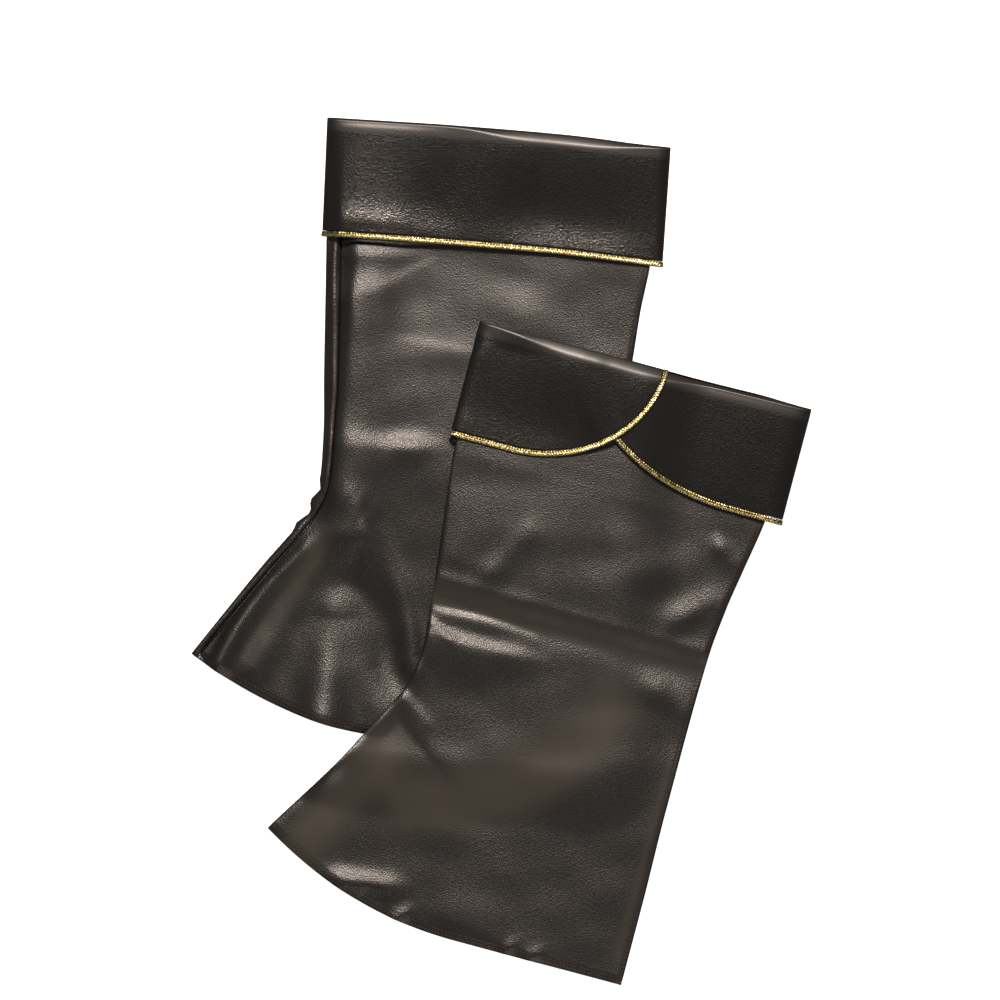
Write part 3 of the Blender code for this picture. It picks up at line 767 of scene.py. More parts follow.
@dataclass(frozen=True)
class Leatherette:
    """Black PVC-coated knit, embossed with a fine leather grain and slightly glossy.

    The grain breaks the gloss up into small glints. It is drawn about 1 mm wide, coarser than it is, so
    that it shows. An attribute says where the cloth is pulled smooth: over the foot its grain is flat,
    its gloss less rough, and its colour is lifted to an even warm brown, which is a painted reflection of
    the surroundings on slopes that face away from the key light. Round the fold of the cuff its gloss is
    dulled.

    Attributes:
        name: The material's name.
        colour: The coating's colour.
        pale: Its colour where it is pulled smooth, a painted reflection of the surroundings.
        roughness: Its roughness.
        smooth_roughness: Its roughness where it is pulled smooth.
        grain_mm: The width of a cell of the grain, and how deep the grain is.
        pebble_mm: The same for the shallow pebbling under it.
        mottle_mm: The width of the patches over which the roughness changes, and by how much.
        ior: The index of refraction of PVC.
        specular: How strong the gloss of its lacquer is.
    """

    name: str
    colour: str = "#0e0c0b"
    pale: str = "#3f3b36"
    roughness: float = 0.42
    smooth_roughness: float = 0.34
    grain_mm: tuple[float, float] = (0.9, 0.19)
    pebble_mm: tuple[float, float] = (2.6, 0.04)
    mottle_mm: tuple[float, float] = (34.0, 0.015)
    ior: float = 1.54
    specular: float = 0.9

    def make(self) -> bpy.types.Material:
        """Builds the material.

        Returns:
            The material: two bumps of cells for the grain, and roughness and colour by how much the cloth is
                pulled smooth, the colour there being a painted reflection.
        """
        material, tree, shader = new_material(self.name)
        where = add_node(tree, "ShaderNodeTexCoord", {}, {}).outputs["Object"]
        smoothing_and_reflection = add_node(tree, "ShaderNodeAttribute", {"attribute_name": "smoothing_and_painted_reflection"}, {}).outputs["Fac"]
        (grain, grain_depth), (pebble, pebble_depth) = self.grain_mm, self.pebble_mm
        mottle, change = self.mottle_mm
        cells = add_node(tree, "ShaderNodeTexVoronoi", {"Scale": 1.0 / (grain * MM)}, {"Vector": where})
        pebbles = add_node(tree, "ShaderNodeTexVoronoi",
                           {"Scale": 1.0 / (pebble * MM), "feature": "SMOOTH_F1"}, {"Vector": where})
        patches = add_node(tree, "ShaderNodeTexNoise", {"Scale": 1.0 / (mottle * MM), "Detail": 2.0},
                           {"Vector": where})
        keep = add_node(tree, "ShaderNodeMath", {"operation": "SUBTRACT", 0: 1.0}, {1: smoothing_and_reflection}).outputs[0]
        bump = add_node(tree, "ShaderNodeBump", {"Distance": grain_depth * MM},
                        {"Height": cells.outputs["Distance"], "Strength": keep})
        bump = add_node(tree, "ShaderNodeBump", {"Distance": pebble_depth * MM, "Strength": 0.3},
                        {"Height": pebbles.outputs["Distance"], "Normal": bump.outputs["Normal"]})
        # Painted reflection: where the cloth is pulled smooth, the body's copy goes over to an even brown.
        # The cuff's copy keeps its own colour there.
        colour = add_node(tree, "ShaderNodeMix",
                          {"data_type": "RGBA", 6: linear(self.colour), 7: linear(self.pale)}, {0: smoothing_and_reflection})
        rough = add_node(tree, "ShaderNodeMapRange",
                         {"From Min": 0.2, "From Max": 0.8, "To Min": self.roughness - change,
                          "To Max": self.roughness + change}, {"Value": patches.outputs["Fac"]})
        rough = add_node(tree, "ShaderNodeMix", {3: self.smooth_roughness}, {0: smoothing_and_reflection, 2: rough.outputs[0]})
        feed(tree, shader, {"Base Color": colour.outputs[2], "Roughness": rough.outputs[0],
                            "Normal": bump.outputs["Normal"]})
        shader.inputs["IOR"].default_value = self.ior
        shader.inputs["Specular IOR Level"].default_value = self.specular
        return material


@dataclass(frozen=True)
class GoldThread:
    """Braid of polyester thread wound with gold metal foil: bright facets between dark gaps.

    An attribute paints the outer rib's colour brighter and the inner rib's darker: a painted highlight on the
    outer rib and painted shade on the inner one, which lies against the cuff.

    Attributes:
        name: The material's name.
        bright: The colour of a facet that shines.
        deep: The colour of one that doesn't.
        facet_mm: The width of a facet.
        facet_share: How much the facets differ.
    """

    name: str = "gold_foil_thread"
    bright: str = "#f6e8ac"
    deep: str = "#57470f"
    facet_mm: float = 1.1
    facet_share: float = 0.58

    def make(self) -> bpy.types.Material:
        """Builds the material: a metal whose colour and roughness change from facet to facet."""
        material, tree, shader = new_material(self.name)
        where = add_node(tree, "ShaderNodeTexCoord", {}, {}).outputs["Object"]
        facet = add_node(tree, "ShaderNodeTexVoronoi", {"Scale": 1.0 / (self.facet_mm * MM)},
                         {"Vector": where})
        tone = add_node(tree, "ShaderNodeSeparateColor", {}, {0: facet.outputs["Color"]})
        # The ribs' painted highlight and painted shade, stored on the braid's mesh.
        painted_rib_light = add_node(tree, "ShaderNodeAttribute", {"attribute_name": "painted_rib_light"}, {}).outputs["Fac"]
        share = add_node(tree, "ShaderNodeMath", {"operation": "MULTIPLY_ADD", 1: self.facet_share},
                         {0: tone.outputs[0], 2: painted_rib_light})
        colour = add_node(tree, "ShaderNodeMix",
                          {"data_type": "RGBA", 6: linear(self.deep), 7: linear(self.bright)},
                          {0: share.outputs[0]})
        rough = add_node(tree, "ShaderNodeMapRange", {"To Min": 0.22, "To Max": 0.5},
                         {"Value": tone.outputs[1]})
        bump = add_node(tree, "ShaderNodeBump", {"Distance": 0.12 * MM, "Strength": 1.0},
                        {"Height": facet.outputs["Distance"]})
        feed(tree, shader, {"Base Color": colour.outputs[2], "Roughness": rough.outputs[0],
                            "Normal": bump.outputs["Normal"]})
        shader.inputs["Metallic"].default_value = 1.0
        return material


@dataclass(frozen=True)
class SewingThread:
    """Black polyester sewing thread, twisted and slightly shiny.

    It is drawn paler and thicker than it is, so that the stitches show as faint specks.
    """

    name: str = "black_polyester_thread"
    colour: str = "#4c463c"
    twist_mm: float = 0.3

    def make(self) -> bpy.types.Material:
        """Builds the material: one dark colour over a fine bump."""
        material, tree, shader = new_material(self.name)
        where = add_node(tree, "ShaderNodeTexCoord", {}, {}).outputs["Object"]
        twist = add_node(tree, "ShaderNodeTexNoise", {"Scale": 1.0 / (self.twist_mm * MM)}, {"Vector": where})
        bump = add_node(tree, "ShaderNodeBump", {"Distance": 0.05 * MM}, {"Height": twist.outputs["Fac"]})
        feed(tree, shader, {"Normal": bump.outputs["Normal"]})
        shader.inputs["Base Color"].default_value = linear(self.colour)
        shader.inputs["Roughness"].default_value = 0.45
        return material


def dress(piece: bpy.types.Object, material: bpy.types.Material, nodes: tuple[str, ...]) -> None:
    """Gives a piece its material, its body and the nodes that it stands for.

    Args:
        piece: The piece.
        material: Its material.
        nodes: The names of the nodes.
    """
    piece.data.materials.clear()
    piece.data.materials.append(material)
    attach(piece, "root")
    if nodes:
        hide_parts(*nodes)
    log.info("%s: %d faces", piece.name, len(piece.data.polygons))


@dataclass
class BodyPanels:
    """The two side panels of a cover, sewn together down the shin and down the back.

    Attributes:
        form: The cover's form.
        step: The distance between grid lines on the upper panel.
        under_step: The same on the under panel.
        rim: The first grid lines in from the top and the hem.
        close: How far from the top and the hem the grid lines lie closer, and their distances there.
        roll: The least and the most width of the roll at a side edge.
        roll_turns: The angles round the roll at which grid lines lie.
        seam_steps: The grid lines in from the seam that shows, on the upper panel.
        strip_shares: Those from the seam to the edge, on the strip of the under panel that wraps over.
        hem_rows: The two rows of stitches, as distances in from the hem.
        hem_turned: How much cloth is turned in at the hem, and how long the hem is.
        gathers: How far the strip's edge waves at the ankle, and its wave's length.
    """

    form: CoverForm
    step: float = 1.7
    under_step: float = 4.5
    rim: tuple[float, float] = (0.12, RIM)
    close: tuple[float, float, float] = (8.0, 0.9, 0.8)
    roll: tuple[float, float] = (2.2, 4.2)
    roll_turns: tuple[float, ...] = (3.0, 12.0, 24.0, 36.0, 48.0, 60.0, 75.0, 90.0)
    seam_steps: tuple[float, ...] = (0.12, 0.35, 0.7, 1.2, 1.9, 2.8, 4.0, 5.4)
    strip_shares: tuple[float, ...] = (1.0, 0.94, 0.88, 0.8, 0.7, 0.6, 0.5, 0.4, 0.3, 0.2, 0.12, 0.06, 0.02)
    hem_rows: tuple[float, float] = (1.7, 4.3)
    hem_turned: tuple[float, float] = (8.0, 265.0)
    gathers: tuple[float, float] = (1.9, 16.4)

    def grid(self, side: Side) -> tuple[Array, Array, Array]:
        """The middle of a panel's cloth.

        A row runs from edge to edge, and bends up towards the toe as the hem does.

        Args:
            side: Which panel.

        Returns:
            The points, each one's distance from the hem and how much each is pulled smooth, which also sets
            the painted reflection in its colour.
        """
        form, sizes = self.form, self.form.sizes
        step = self.step if side is Side.UPPER else self.under_step
        close, top_step, hem_step = self.close
        rows = np.concatenate([
            run(BODY_TOP_Y, close, top_step, self.rim), run(close, sizes.length - close, step)[1:],
            run(sizes.length - close, sizes.length, hem_step, self.rim)[3:],
        ])
        shin_y = rows - form.rise_at(rows)
        left_x, right_x = form.shin_x(shin_y) + CLOTH / 2, form.back_x(rows) - CLOTH / 2
        width = right_x - left_x
        middle_x, middle_y = (left_x + right_x) / 2, (rows + shin_y) / 2
        radius = BODY_ROLL * (form.upper(middle_x, middle_y) - form.under(middle_x, middle_y)) / 2
        radius = np.clip(radius, *self.roll)[:, None]
        turn = 1.0 - np.cos(np.radians(np.array(self.roll_turns)))
        right = width[:, None] - radius * turn[::-1]
        if not sizes.seam_in:
            left, left_sides = radius * turn, np.full(len(turn), side.value)
        elif side is Side.UPPER:
            left = read(sizes.seam_in, 1, shin_y)[:, None] + np.array(self.seam_steps)
            left_sides = np.ones(len(self.seam_steps))
        else:
            top = (read(sizes.seam_in, 1, shin_y)[:, None] - self.rim[0]) * np.array(self.strip_shares)
            round_edge = radius * (1.0 - np.cos(np.radians(np.linspace(0.0, 90.0, 7))))
            left = np.concatenate([top, round_edge], 1)
            left_sides = np.repeat([1.0, -1.0], [top.shape[1], round_edge.shape[1]])
        count = int(np.median(width) / step)
        share = np.linspace(0.0, 1.0, count + 2)[1:-1]
        from_left = np.concatenate([left, left[:, -1:] + (right[:, :1] - left[:, -1:]) * share, right], 1)
        which = np.concatenate([left_sides, np.full(count + len(turn), side.value)])

        hem_line = form.hem_line(from_left / width[:, None])
        x = left_x[:, None] + from_left
        y = rows[:, None] - form.rise_at(rows)[:, None] * hem_line
        if sizes.seam_in:
            x = x + self.pucker(shin_y)[:, None] * (1.0 - ramp(from_left / 5.0))
        near = np.minimum(from_left, width[:, None] - from_left)
        reach = radius + 0.0 * x
        if sizes.seam_in:
            strip = (from_left < width[:, None] / 2) & (which > 0.0)
            reach = np.where(strip, read(sizes.seam_in, 1, shin_y)[:, None], reach)
        z = rolled(form.under(x, y), form.upper(x, y), which, near, reach)
        from_hem = (sizes.length - rows)[:, None] + 0.0 * x
        z = z + which * self.relief(x, y, from_hem, which)
        # How much the cloth is pulled smooth, which also sets the painted reflection in its colour.
        smoothing_and_reflection = sum((patch.at(x, y) for patch in sizes.smoothing_and_painted_reflection), 0.0 * x)
        return np.stack([x, y, z], -1), from_hem, np.clip(smoothing_and_reflection, 0.0, 1.0)

    def pucker(self, down: Array) -> Array:
        """How far the strip's edge waves in and out where it turns the ankle.

        Args:
            down: Distances down.

        Returns:
            Shift = reach cos(2 pi (y - 240.5) / length), faded in from 233 mm and out to 273 mm.
        """
        reach, length = self.gathers
        faded = ramp((down - 233.0) / 8.0) * ramp((273.0 - down) / 8.0)
        return reach * np.cos(2.0 * math.pi * (down - 240.5) / length) * faded

    def relief(self, x: Array, y: Array, from_hem: Array, which: Array) -> Array:
        """How far the sewing presses the cloth in or out.

        Each valley or ridge is a height times a bell of the distance to it: the two rows of stitches, the
        hem's edge, which also curves down over 6 mm, and the back seam. Where the shin seam shows, the
        strip beside it stands up, the panel dips towards it, and small gathers cross the strip.

        Args:
            x: Distances across.
            y: Distances down.
            from_hem: Distances up from the hem.
            which: 1 on the upper side and -1 on the under side.

        Returns:
            The relief, in millimetres.
        """
        sizes = self.form.sizes
        total = 0.0 * x
        for row in self.hem_rows:
            total = total - 0.14 * bell(from_hem - row, 0.8)
        total = total - 0.9 * (1.0 - ramp(from_hem / 6.0)) - 0.3 * bell(from_hem, 1.6)
        if sizes.seam_in:
            away = x - self.form.shin_x(y) - CLOTH / 2 - read(sizes.seam_in, 1, y)
            shown = which > 0.0
            total = total + shown * (-0.75 * bell(away, 1.1) + 1.3 * bell(away + 3.1, 2.0))
            total = total - shown * 1.7 * bell(away, 6.5) * (away > 0.0)
            wave = np.sin(y / 4.4 + 1.6 * np.sin(y / 19.0)) * bell(y - 262.0, 26.0)
            total = total + shown * 0.5 * wave * bell(away + 3.0, 3.0)
        back = self.form.back_x(y) - CLOTH / 2 - x
        return total - 0.3 * bell(back - 2.3, 0.5)

    def area(self) -> float:
        """The flat area of one panel, with what is turned in at its hem, in square metres."""
        points = self.form.outline()
        x, y = points[:, 0], points[:, 1]
        inside = abs(float((x * np.roll(y, -1) - y * np.roll(x, -1)).sum())) / 2
        return (inside + self.hem_turned[0] * self.hem_turned[1]) * MM * MM

    def build(self, leatherette: bpy.types.Material) -> None:
        """Builds both panels, each with its material and body.

        Args:
            leatherette: Their material.
        """
        name = self.form.sizes.name
        for side in (Side.UNDER, Side.UPPER):
            word = "upper" if side is Side.UPPER else "under"
            points, _, smoothing_and_reflection = self.grid(side)
            if side is Side.UPPER:
                points, smoothing_and_reflection = points[:, ::-1], smoothing_and_reflection[:, ::-1]
            piece = wall(f"{name}_{word}_panel_cloth", self.form, points, smoothing_and_reflection)
            dress(piece, leatherette, (f"{name}_body_{word}_panel",))
            self.area()


@dataclass
class Cuff:
    """The cuff: one strip round the top edge, turned down outside, whose rounded ends cross.

    Attributes:
        form: The cover's form.
        step: The distance between grid lines.
        roll_turns: The angles round the side folds at which grid lines lie.
        fold_in_reach: How far from the back edge the plain side's fold starts to go in.
        bulge: How high the cuff bulges, and how much higher where its fold is round.
        bulge_side: How far in from the side edges that grows.
        dulled: How much the gloss is dulled round the fold, and how far past it.
    """

    form: CoverForm
    step: float = 1.8
    roll_turns: tuple[float, ...] = (8.0, 20.0, 32.0, 46.0, 60.0, 75.0, 90.0)
    fold_in_reach: float = 40.0
    bulge: tuple[float, float] = (3.4, 0.8)
    bulge_side: float = 8.0
    dulled: tuple[float, float] = (0.8, 4.0)

    def columns(self, inset: float) -> tuple[Array, Array, Array, Array]:
        """The strip's columns, from the shin flap's end round to the back flap's.

        A flap's round end is an ellipse: x = start + reach sin(b), y = depth cos(b).

        Args:
            inset: How far the strip's edge lies in from the middle of its braid.

        Returns:
            Each column's x, how far down it reaches, where its fold is and which side it is on.
        """
        width = self.form.sizes.cuff_edges[0][2] - CLOTH
        turn = CUFF_ROLL * (1.0 - np.cos(np.radians(np.array(self.roll_turns))))
        depth = BRAID_Y - inset
        sides = 1.0 if self.form.sizes.flaps_up else -1.0

        def flap(start: float, reach: float, fold: float) -> tuple[Array, Array]:
            """A flap's columns, from its side edge to its end."""
            last = math.acos((fold + FLAP_END) / (BRAID_Y - BRAID_WIDTH))
            bend = np.linspace(0.0, last, int(reach / self.step) + 8)
            straight = run(CUFF_ROLL, start, self.step)[1:-1]
            x = np.concatenate([turn, straight, start + (reach - inset) * np.sin(bend)])
            return x, np.concatenate([np.full(len(x) - len(bend), depth), depth * np.cos(bend)])

        shin_x, shin_down = flap(SHIN_FLAP[0], SHIN_FLAP[1], FOLD_Y)
        back_x, back_down = flap(width - BACK_FLAP[0], BACK_FLAP[1], FOLD_Y + FOLD_IN)
        plain_x = np.concatenate([[0.0], turn, run(CUFF_ROLL, width - CUFF_ROLL, self.step)[1:-1],
                                  width - turn[::-1], [width]])
        x = np.concatenate([shin_x[::-1], plain_x, width - back_x])
        down = np.concatenate([shin_down[::-1], np.full(len(plain_x), depth), back_down])
        fold_in = FOLD_IN * ramp(1.0 - (width - plain_x) / self.fold_in_reach)
        fold = FOLD_Y + np.concatenate([np.zeros(len(shin_x)), fold_in, np.full(len(back_x), FOLD_IN)])
        side = np.repeat([sides, -sides, sides], [len(shin_x), len(plain_x), len(back_x)])
        return x, down, fold, side

    def grid(self, inset: float = SEAM_GAP + BRAID_WIDTH / 2) -> Array:
        """The middle of the strip's cloth: rows from inside the fold to its edge.

        The fold is a quarter of an ellipse. Below it the strip lies over the body and over what is
        folded there, with its side edges rolled, and its upper side bulges and has creases of its own.

        Args:
            inset: How far the edge lies in from the middle of the braid.

        Returns:
            The points.
        """
        form = self.form
        x0, down, fold, side = self.columns(inset)
        width = form.sizes.cuff_edges[0][2] - CLOTH
        turn = np.radians(np.linspace(0.0, 90.0, 9))[:, None]
        fold_y = fold - FOLD_REACH * np.cos(turn)
        close = 0.25 * np.linspace(0.0, 1.0, 20)[1:] ** 1.7
        share = np.concatenate([close, np.linspace(0.25, 1.0, 32)[1:-1], [0.985, 0.996, 1.0]])
        below_y = fold + share[:, None] * (down - fold)
        y = np.concatenate([fold_y, below_y])
        sunk = np.concatenate([1.0 - np.sin(turn) + 0.0 * x0, 0.0 * below_y]) * (CLOTH + LAYER_GAP)

        edge = np.clip(np.minimum(x0, width - x0), 0.0, None) + 0.0 * y
        first = read(form.sizes.cuff_edges, 1, y) + CLOTH / 2
        x = first + x0 / width * (read(form.sizes.cuff_edges, 2, y) - CLOTH / 2 - first)
        at = np.maximum(y, fold)
        low = form.support(x, at) + CLOTH / 2
        high = form.upper(x, at) + CLOTH + LAYER_GAP
        centre = (low + high) / 2
        flap = side == (1.0 if form.sizes.flaps_up else -1.0)
        columns = np.arange(len(x0))
        middle = (columns[~flap][0] + columns[~flap][-1]) / 2
        shin_flap, back_flap = flap & (columns < middle), flap & (columns > middle)
        if form.sizes.flaps_up:
            high = high + np.where(shin_flap, form.lift(CuffPart.BACK, x, at), 0.0)
        else:
            low = low + np.where(back_flap, form.lift(CuffPart.SHIN, x, at), 0.0)
        reach = np.where(side > 0.0, high - centre, centre - low) - sunk
        z = rolled(centre - reach, centre + reach, side, edge, np.float64(CUFF_ROLL))
        inner = ramp(edge / 12.0) * ramp((y - fold) / 4.0)
        grown = 1.0 - np.exp(-edge / self.bulge_side)
        z = z + np.where(side > 0.0, self.puff(x, y - fold + FOLD_REACH) * grown, 0.0)
        slight = 0.1 * form.unevenness(x + 90.0, y)
        waves = sum((crease.at(x, y) for crease in form.sizes.cuff_creases), slight)
        z = z + np.where(side > 0.0, waves * inner, 0.0)
        return np.stack([x, y, z], -1)

    def puff(self, x: Array, below: Array) -> Array:
        """How much the cuff's outside bulges under its fold, where its cloth is too springy to crease.

        Args:
            x: Distances across.
            below: Distances below the fold's outer edge.

        Returns:
            Height = most (1 - (1 - below / reach)^p), p from 1 to 1.5, then falling off to the edge.
        """
        sizes = self.form.sizes
        share = np.exp(-(((x - sizes.puff_middle) / sizes.puff_half) ** 4))
        reach = FOLD_REACH + (sizes.puff_reach - FOLD_REACH) * share
        roll = 1.0 - (1.0 - np.clip(below / reach, 0.0, 1.0)) ** (1.0 + 0.5 * share)
        roll = np.where(below < 0.0, 0.0, roll)
        faded = 1.0 - ramp((below - reach) / (CUFF_DEPTH - FOLD_Y - reach - 6.0))
        return (self.bulge[0] + self.bulge[1] * share) * roll * faded

    def edge_line(self, inset: float) -> Array:
        """The line round the strip's edge, this far in from the middle of the braid.

        It runs up the shin flap's end from inside the fold, along the edge and up to the back fold.
        """
        cloth = self.grid(inset)
        return np.concatenate([cloth[2:9, 0], cloth[-1], cloth[8:9, -1]])

    def build(self, leatherette: bpy.types.Material) -> None:
        """Args:
            leatherette: Its material.
        """
        sizes = self.form.sizes
        name, points = sizes.name, self.grid()
        points = points[:, ::-1] if sizes.flaps_up else points
        past = points[..., 1] - FOLD_Y + FOLD_REACH - sizes.puff_reach
        dulled = self.dulled[0] * (1.0 - ramp(past / self.dulled[1]))
        piece = wall(f"{name}_cuff_cloth", self.form, points, dulled)
        dress(piece, leatherette,
              tuple(f"{name}_cuff_{part}" for part in ("plain_side", "shin_flap", "back_flap")))


@dataclass
class Braid:
    """The gold braid round the cuff's edge: two round ribs side by side, of slanting threads.

    Attributes:
        cuff: The cuff that it is sewn to.
        step: The distance between sections.
        pitch: The distance from thread to thread.
        sides: The points round a section.
        rib_heights: How high the outer and the inner rib are, as shares of the thickness.
        waves: How much the threads' waves change the thickness and the width.
        slant: How much the threads slant, in radians across half the width.
        painted_rib_lights: How much brighter the outer and the inner rib are painted: a painted highlight on
            the outer one, painted shade on the inner one.
    """

    cuff: Cuff
    step: float = 0.33
    pitch: float = 1.8
    sides: int = 18
    rib_heights: tuple[float, float] = (1.25, 0.9)
    waves: tuple[float, float] = (0.34, 0.04)
    slant: float = 5.0
    painted_rib_lights: tuple[float, float] = (0.45, 0.02)

    def rings(self) -> Array:
        """The braid's sections.

        A section is (wide cos(t), thick sin(t) p), where p = 0.25 + 0.75 |sin(pi u)|^0.7 makes two ribs
        over its width u, and a wave along the braid, slanted one way on each rib, makes the threads.

        Returns:
            The points, by section and round it, in the cover's frame.
        """
        inner, middle, outer = (self.cuff.edge_line(inset) for inset in (1.5, 0.0, -1.5))
        length = lengths(middle)
        keep = np.concatenate([[True], np.diff(length) > 1e-6])
        at = np.arange(0.0, length[-1], self.step)
        inner, middle, outer = (
            np.stack([np.interp(at, length[keep], line[keep, i]) for i in range(3)], 1)
            for line in (inner, middle, outer)
        )
        tangent = unit(np.gradient(middle, axis=0))
        out = outer - inner
        out = unit(out - (out * tangent).sum(-1, keepdims=True) * tangent)
        flip = -1.0 if self.cuff.form.sizes.flaps_up else 1.0
        normal = unit(np.cross(tangent, out)) * flip
        around = np.linspace(0.0, 2.0 * math.pi, self.sides, endpoint=False)
        u = np.cos(around)
        rib = (0.25 + 0.75 * np.abs(np.sin(math.pi * u)) ** 0.7) * np.where(u > 0.0, *self.rib_heights)
        slant = np.where(u > 0.0, 1.0, -1.0) * np.abs(u) * self.slant
        wave = np.sin(2.0 * math.pi * at[:, None] / self.pitch + slant)
        wide = SHOWN_BRAID / 2 * u * (1.0 + self.waves[1] * wave) - (BRAID_WIDTH - SHOWN_BRAID) / 2
        thick = BRAID_THICK / 2 * np.sin(around) * rib * (1.0 + self.waves[0] * wave) * 1.15
        lift = (BRAID_THICK - CLOTH) / 2
        points = (middle + normal * lift)[:, None] + out[:, None] * wide[..., None]
        points = points + normal[:, None] * thick[..., None]
        points[..., 2] = np.maximum(points[..., 2], TABLE)
        return points

    def build(self, gold: bpy.types.Material) -> None:
        """Builds the braid, closed at both ends.

        Args:
            gold: Its material.
        """
        name = self.cuff.form.sizes.name
        rings = self.rings()
        first, last = (np.repeat(ring.mean(0)[None, None], self.sides, 1) for ring in (rings[0], rings[-1]))
        placed = self.cuff.form.place(np.concatenate([first, rings, last]))
        piece = mesh_object(f"{name}_gold_braid", placed.reshape(-1, 3), ring_faces(len(placed), self.sides))
        around = np.linspace(0.0, 2.0 * math.pi, self.sides, endpoint=False)
        # Painted highlight on the outer rib and painted shade on the inner one.
        set_values(piece, "painted_rib_light", np.tile(np.where(np.cos(around) > 0.0, *self.painted_rib_lights), len(placed)))
        outward(piece)
        dress(piece, gold,
              tuple(f"{name}_braid_{part}" for part in ("plain_side", "shin_flap", "back_flap")))


@dataclass
class HemStitches:
    """The two rows of stitches along each panel's hem.

    Attributes:
        panels: The panels that they are sewn through.
        length: The length of a stitch that shows.
        pitch: The distance from stitch to stitch.
        thread: The thread's thickness.
        sections: The rings along a stitch.
        sides: The points round each.
    """

    panels: BodyPanels
    length: float = 1.5
    pitch: float = 2.3
    thread: float = 0.5
    sections: int = 5
    sides: int = 6

    def build(self, thread: bpy.types.Material) -> None:
        """Builds all stitches of a cover as one mesh.

        Each stitch is a small capsule that follows the surface: rings whose radius is a half circle
        along it.

        Args:
            thread: Their material.
        """
        form = self.panels.form
        parts = []
        for side in (Side.UPPER, Side.UNDER):
            points, from_hem, _ = self.panels.grid(side)
            parts += [self.row(points, from_hem, row, side) for row in self.panels.hem_rows]
        rings = np.concatenate(parts)
        first = np.arange(len(rings)) * self.sections * self.sides
        every = (ring_faces(self.sections, self.sides)[None] + first[:, None, None]).reshape(-1, 4)
        piece = mesh_object(f"{form.sizes.name}_hem_stitches", form.place(rings).reshape(-1, 3), every)
        outward(piece)
        dress(piece, thread, ())

    def row(self, points: Array, from_hem: Array, inset: float, side: Side) -> Array:
        """One row's stitches.

        Args:
            points: The panel's grid.
            from_hem: Each point's distance from the hem.
            inset: The row's distance from the hem.
            side: Which panel.

        Returns:
            The points, by stitch, section and round it.
        """
        line = points[int(np.argmin(np.abs(from_hem[:, 0] - inset))), 10:-10]
        length = lengths(line)
        starts = np.arange(1.0, length[-1] - self.pitch, self.pitch)
        along = np.linspace(0.0, 1.0, self.sections)
        at = starts[:, None] + along * self.length
        centre = np.stack([np.interp(at, length, line[:, k]) for k in range(3)], -1)
        tangent = unit(np.gradient(centre, axis=1))
        up = np.array([0.0, 0.0, side.value])
        aside = unit(np.cross(tangent, up))
        radius = self.thread / 2 * np.sqrt(np.clip(1.0 - (2.0 * along - 1.0) ** 2, 0.0, 1.0))
        around = np.linspace(0.0, 2.0 * math.pi, self.sides, endpoint=False)
        centre = centre + up * (SHOWN_CLOTH / 2 + 0.05)
        ring = aside[:, :, None] * np.cos(around)[:, None] + up * np.sin(around)[:, None]
        return centre[:, :, None] + ring * radius[None, :, None, None]


@dataclass(frozen=True)
class Softbox:
    """A softbox that faces the pair.

    Attributes:
        name: Its name.
        place: Where it is, in metres.
        size: Its width and height, in metres.
        power: Its power, in watts.
    """

    name: str
    place: tuple[float, float, float]
    size: tuple[float, float]
    power: float


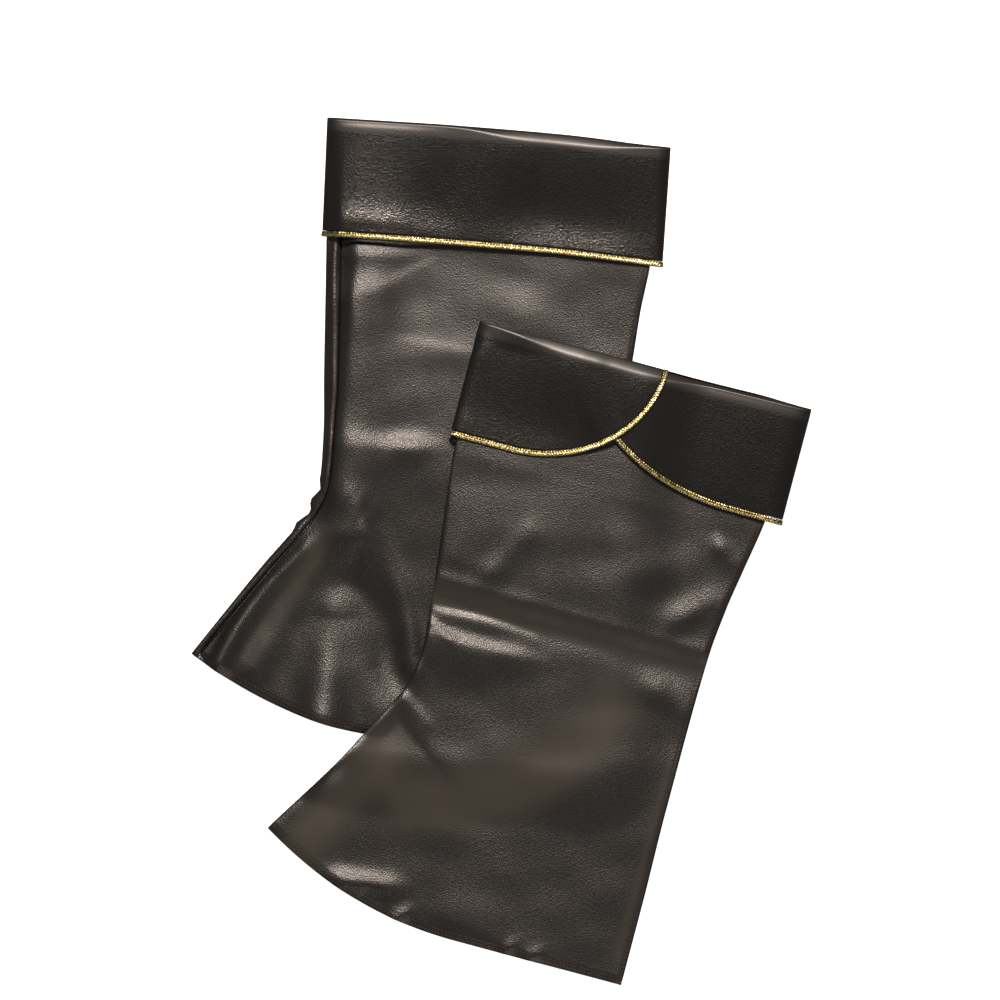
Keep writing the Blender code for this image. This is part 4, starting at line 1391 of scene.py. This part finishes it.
@dataclass(frozen=True)
class Studio:
    """The camera, the floor and the lights.

    Attributes:
        target: The point under the camera, in the pair's frame, in metres.
        distance: The camera's height over the cloth.
        lens: The lens, in millimetres.
        film: The film's width, in millimetres.
        softboxes: The key light, from above the cuffs, and a weak one from below the hems.
        warmth: The colour of their light.
        room: The colour and the strength of the light from all round.
        floor_half: Half the floor's width, in metres.
        floor_drop: How far it lies under the table's height, in metres, so that nothing touches it.
    """

    target: tuple[float, float] = (-0.00073, 0.03344)
    distance: float = 4.6042
    lens: float = 255.0
    film: float = 36.0
    softboxes: tuple[Softbox, ...] = (
        Softbox("key_softbox", (0.15, 3.05, 3.34), (1.05, 0.82), 290.0),
        Softbox("low_fill", (0.6, -2.6, 1.1), (1.6, 0.6), 12.0),
    )
    warmth: str = "#ffeee0"
    room: tuple[str, float] = ("#f4efe8", 0.12)
    floor_half: float = 4.0
    floor_drop: float = 0.0004

    def camera(self) -> None:
        """Adds the camera, straight above the pair and looking down, with the pair's +Y up."""
        data = bpy.data.cameras.new("camera")
        data.lens = self.lens
        data.sensor_width = self.film
        made = bpy.data.objects.new("camera", data)
        made.location = (*self.target, self.distance + 0.006)
        bpy.context.scene.collection.objects.link(made)
        bpy.context.scene.camera = made

    def floor(self) -> None:
        """Adds a plain pale floor."""
        corners = np.array([[-1.0, -1.0, 0.0], [1.0, -1.0, 0.0], [1.0, 1.0, 0.0], [-1.0, 1.0, 0.0]])
        points = corners * self.floor_half - np.array([0.0, 0.0, self.floor_drop])
        made = mesh_object("floor", points, np.array([[0, 1, 2, 3]]))
        material, _, shader = new_material("white_paper")
        shader.inputs["Base Color"].default_value = linear("#f6f5f3")
        shader.inputs["Roughness"].default_value = 0.9
        shader.inputs["Emission Color"].default_value = linear("#ffffff")
        shader.inputs["Emission Strength"].default_value = 1.0
        made.data.materials.append(material)
        made.visible_glossy = False

    def light(self, box: Softbox) -> None:
        """Adds a softbox, turned to face the point under the camera.

        Args:
            box: The softbox.
        """
        data = bpy.data.lights.new(box.name, "AREA")
        data.shape = "RECTANGLE"
        data.size, data.size_y = box.size
        data.energy = box.power
        data.color = linear(self.warmth)[:3]
        made = bpy.data.objects.new(box.name, data)
        made.location = box.place
        away = np.array(box.place) - np.array([*self.target, 0.0])
        made.rotation_euler = (math.atan2(float(np.hypot(away[0], away[1])), away[2]), 0.0,
                               math.atan2(away[0], -away[1]))
        bpy.context.scene.collection.objects.link(made)

    def build(self) -> None:
        """Adds the floor, the softboxes and the pale surroundings."""
        self.floor()
        for box in self.softboxes:
            self.light(box)
        world = bpy.data.worlds.new("pale_room")
        world.use_nodes = True
        background = world.node_tree.nodes["Background"]
        background.inputs[0].default_value = linear(self.room[0])
        background.inputs[1].default_value = self.room[1]
        bpy.context.scene.world = world
        bpy.context.scene.view_settings.view_transform = "Standard"


def main() -> None:
    """Builds the camera, both covers and the studio."""
    logging.basicConfig(level=logging.INFO, format="%(name)s: %(message)s")
    studio = Studio()
    studio.camera()
    body_cloth = Leatherette("black_leatherette_body").make()
    # The cuff's copy is coloured a little darker than the body's, which is painted shade; its lower roughness
    # is its own gloss, and it gets no painted reflection where it is dulled.
    cuff_cloth = Leatherette("black_leatherette_cuff", colour="#0c0a09", pale="#0c0a09", roughness=0.27,
                             smooth_roughness=0.5, grain_mm=(1.1, 0.2)).make()
    gold, thread = GoldThread().make(), SewingThread().make()
    right = CoverForm(RIGHT, above=CoverForm(LEFT))
    for form in (right, CoverForm(LEFT, below=right)):
        panels = BodyPanels(form)
        panels.build(body_cloth)
        cuff = Cuff(form)
        cuff.build(cuff_cloth)
        Braid(cuff).build(gold)
        HemStitches(panels).build(thread)
    studio.build()


if __name__ == "__main__":
    main()
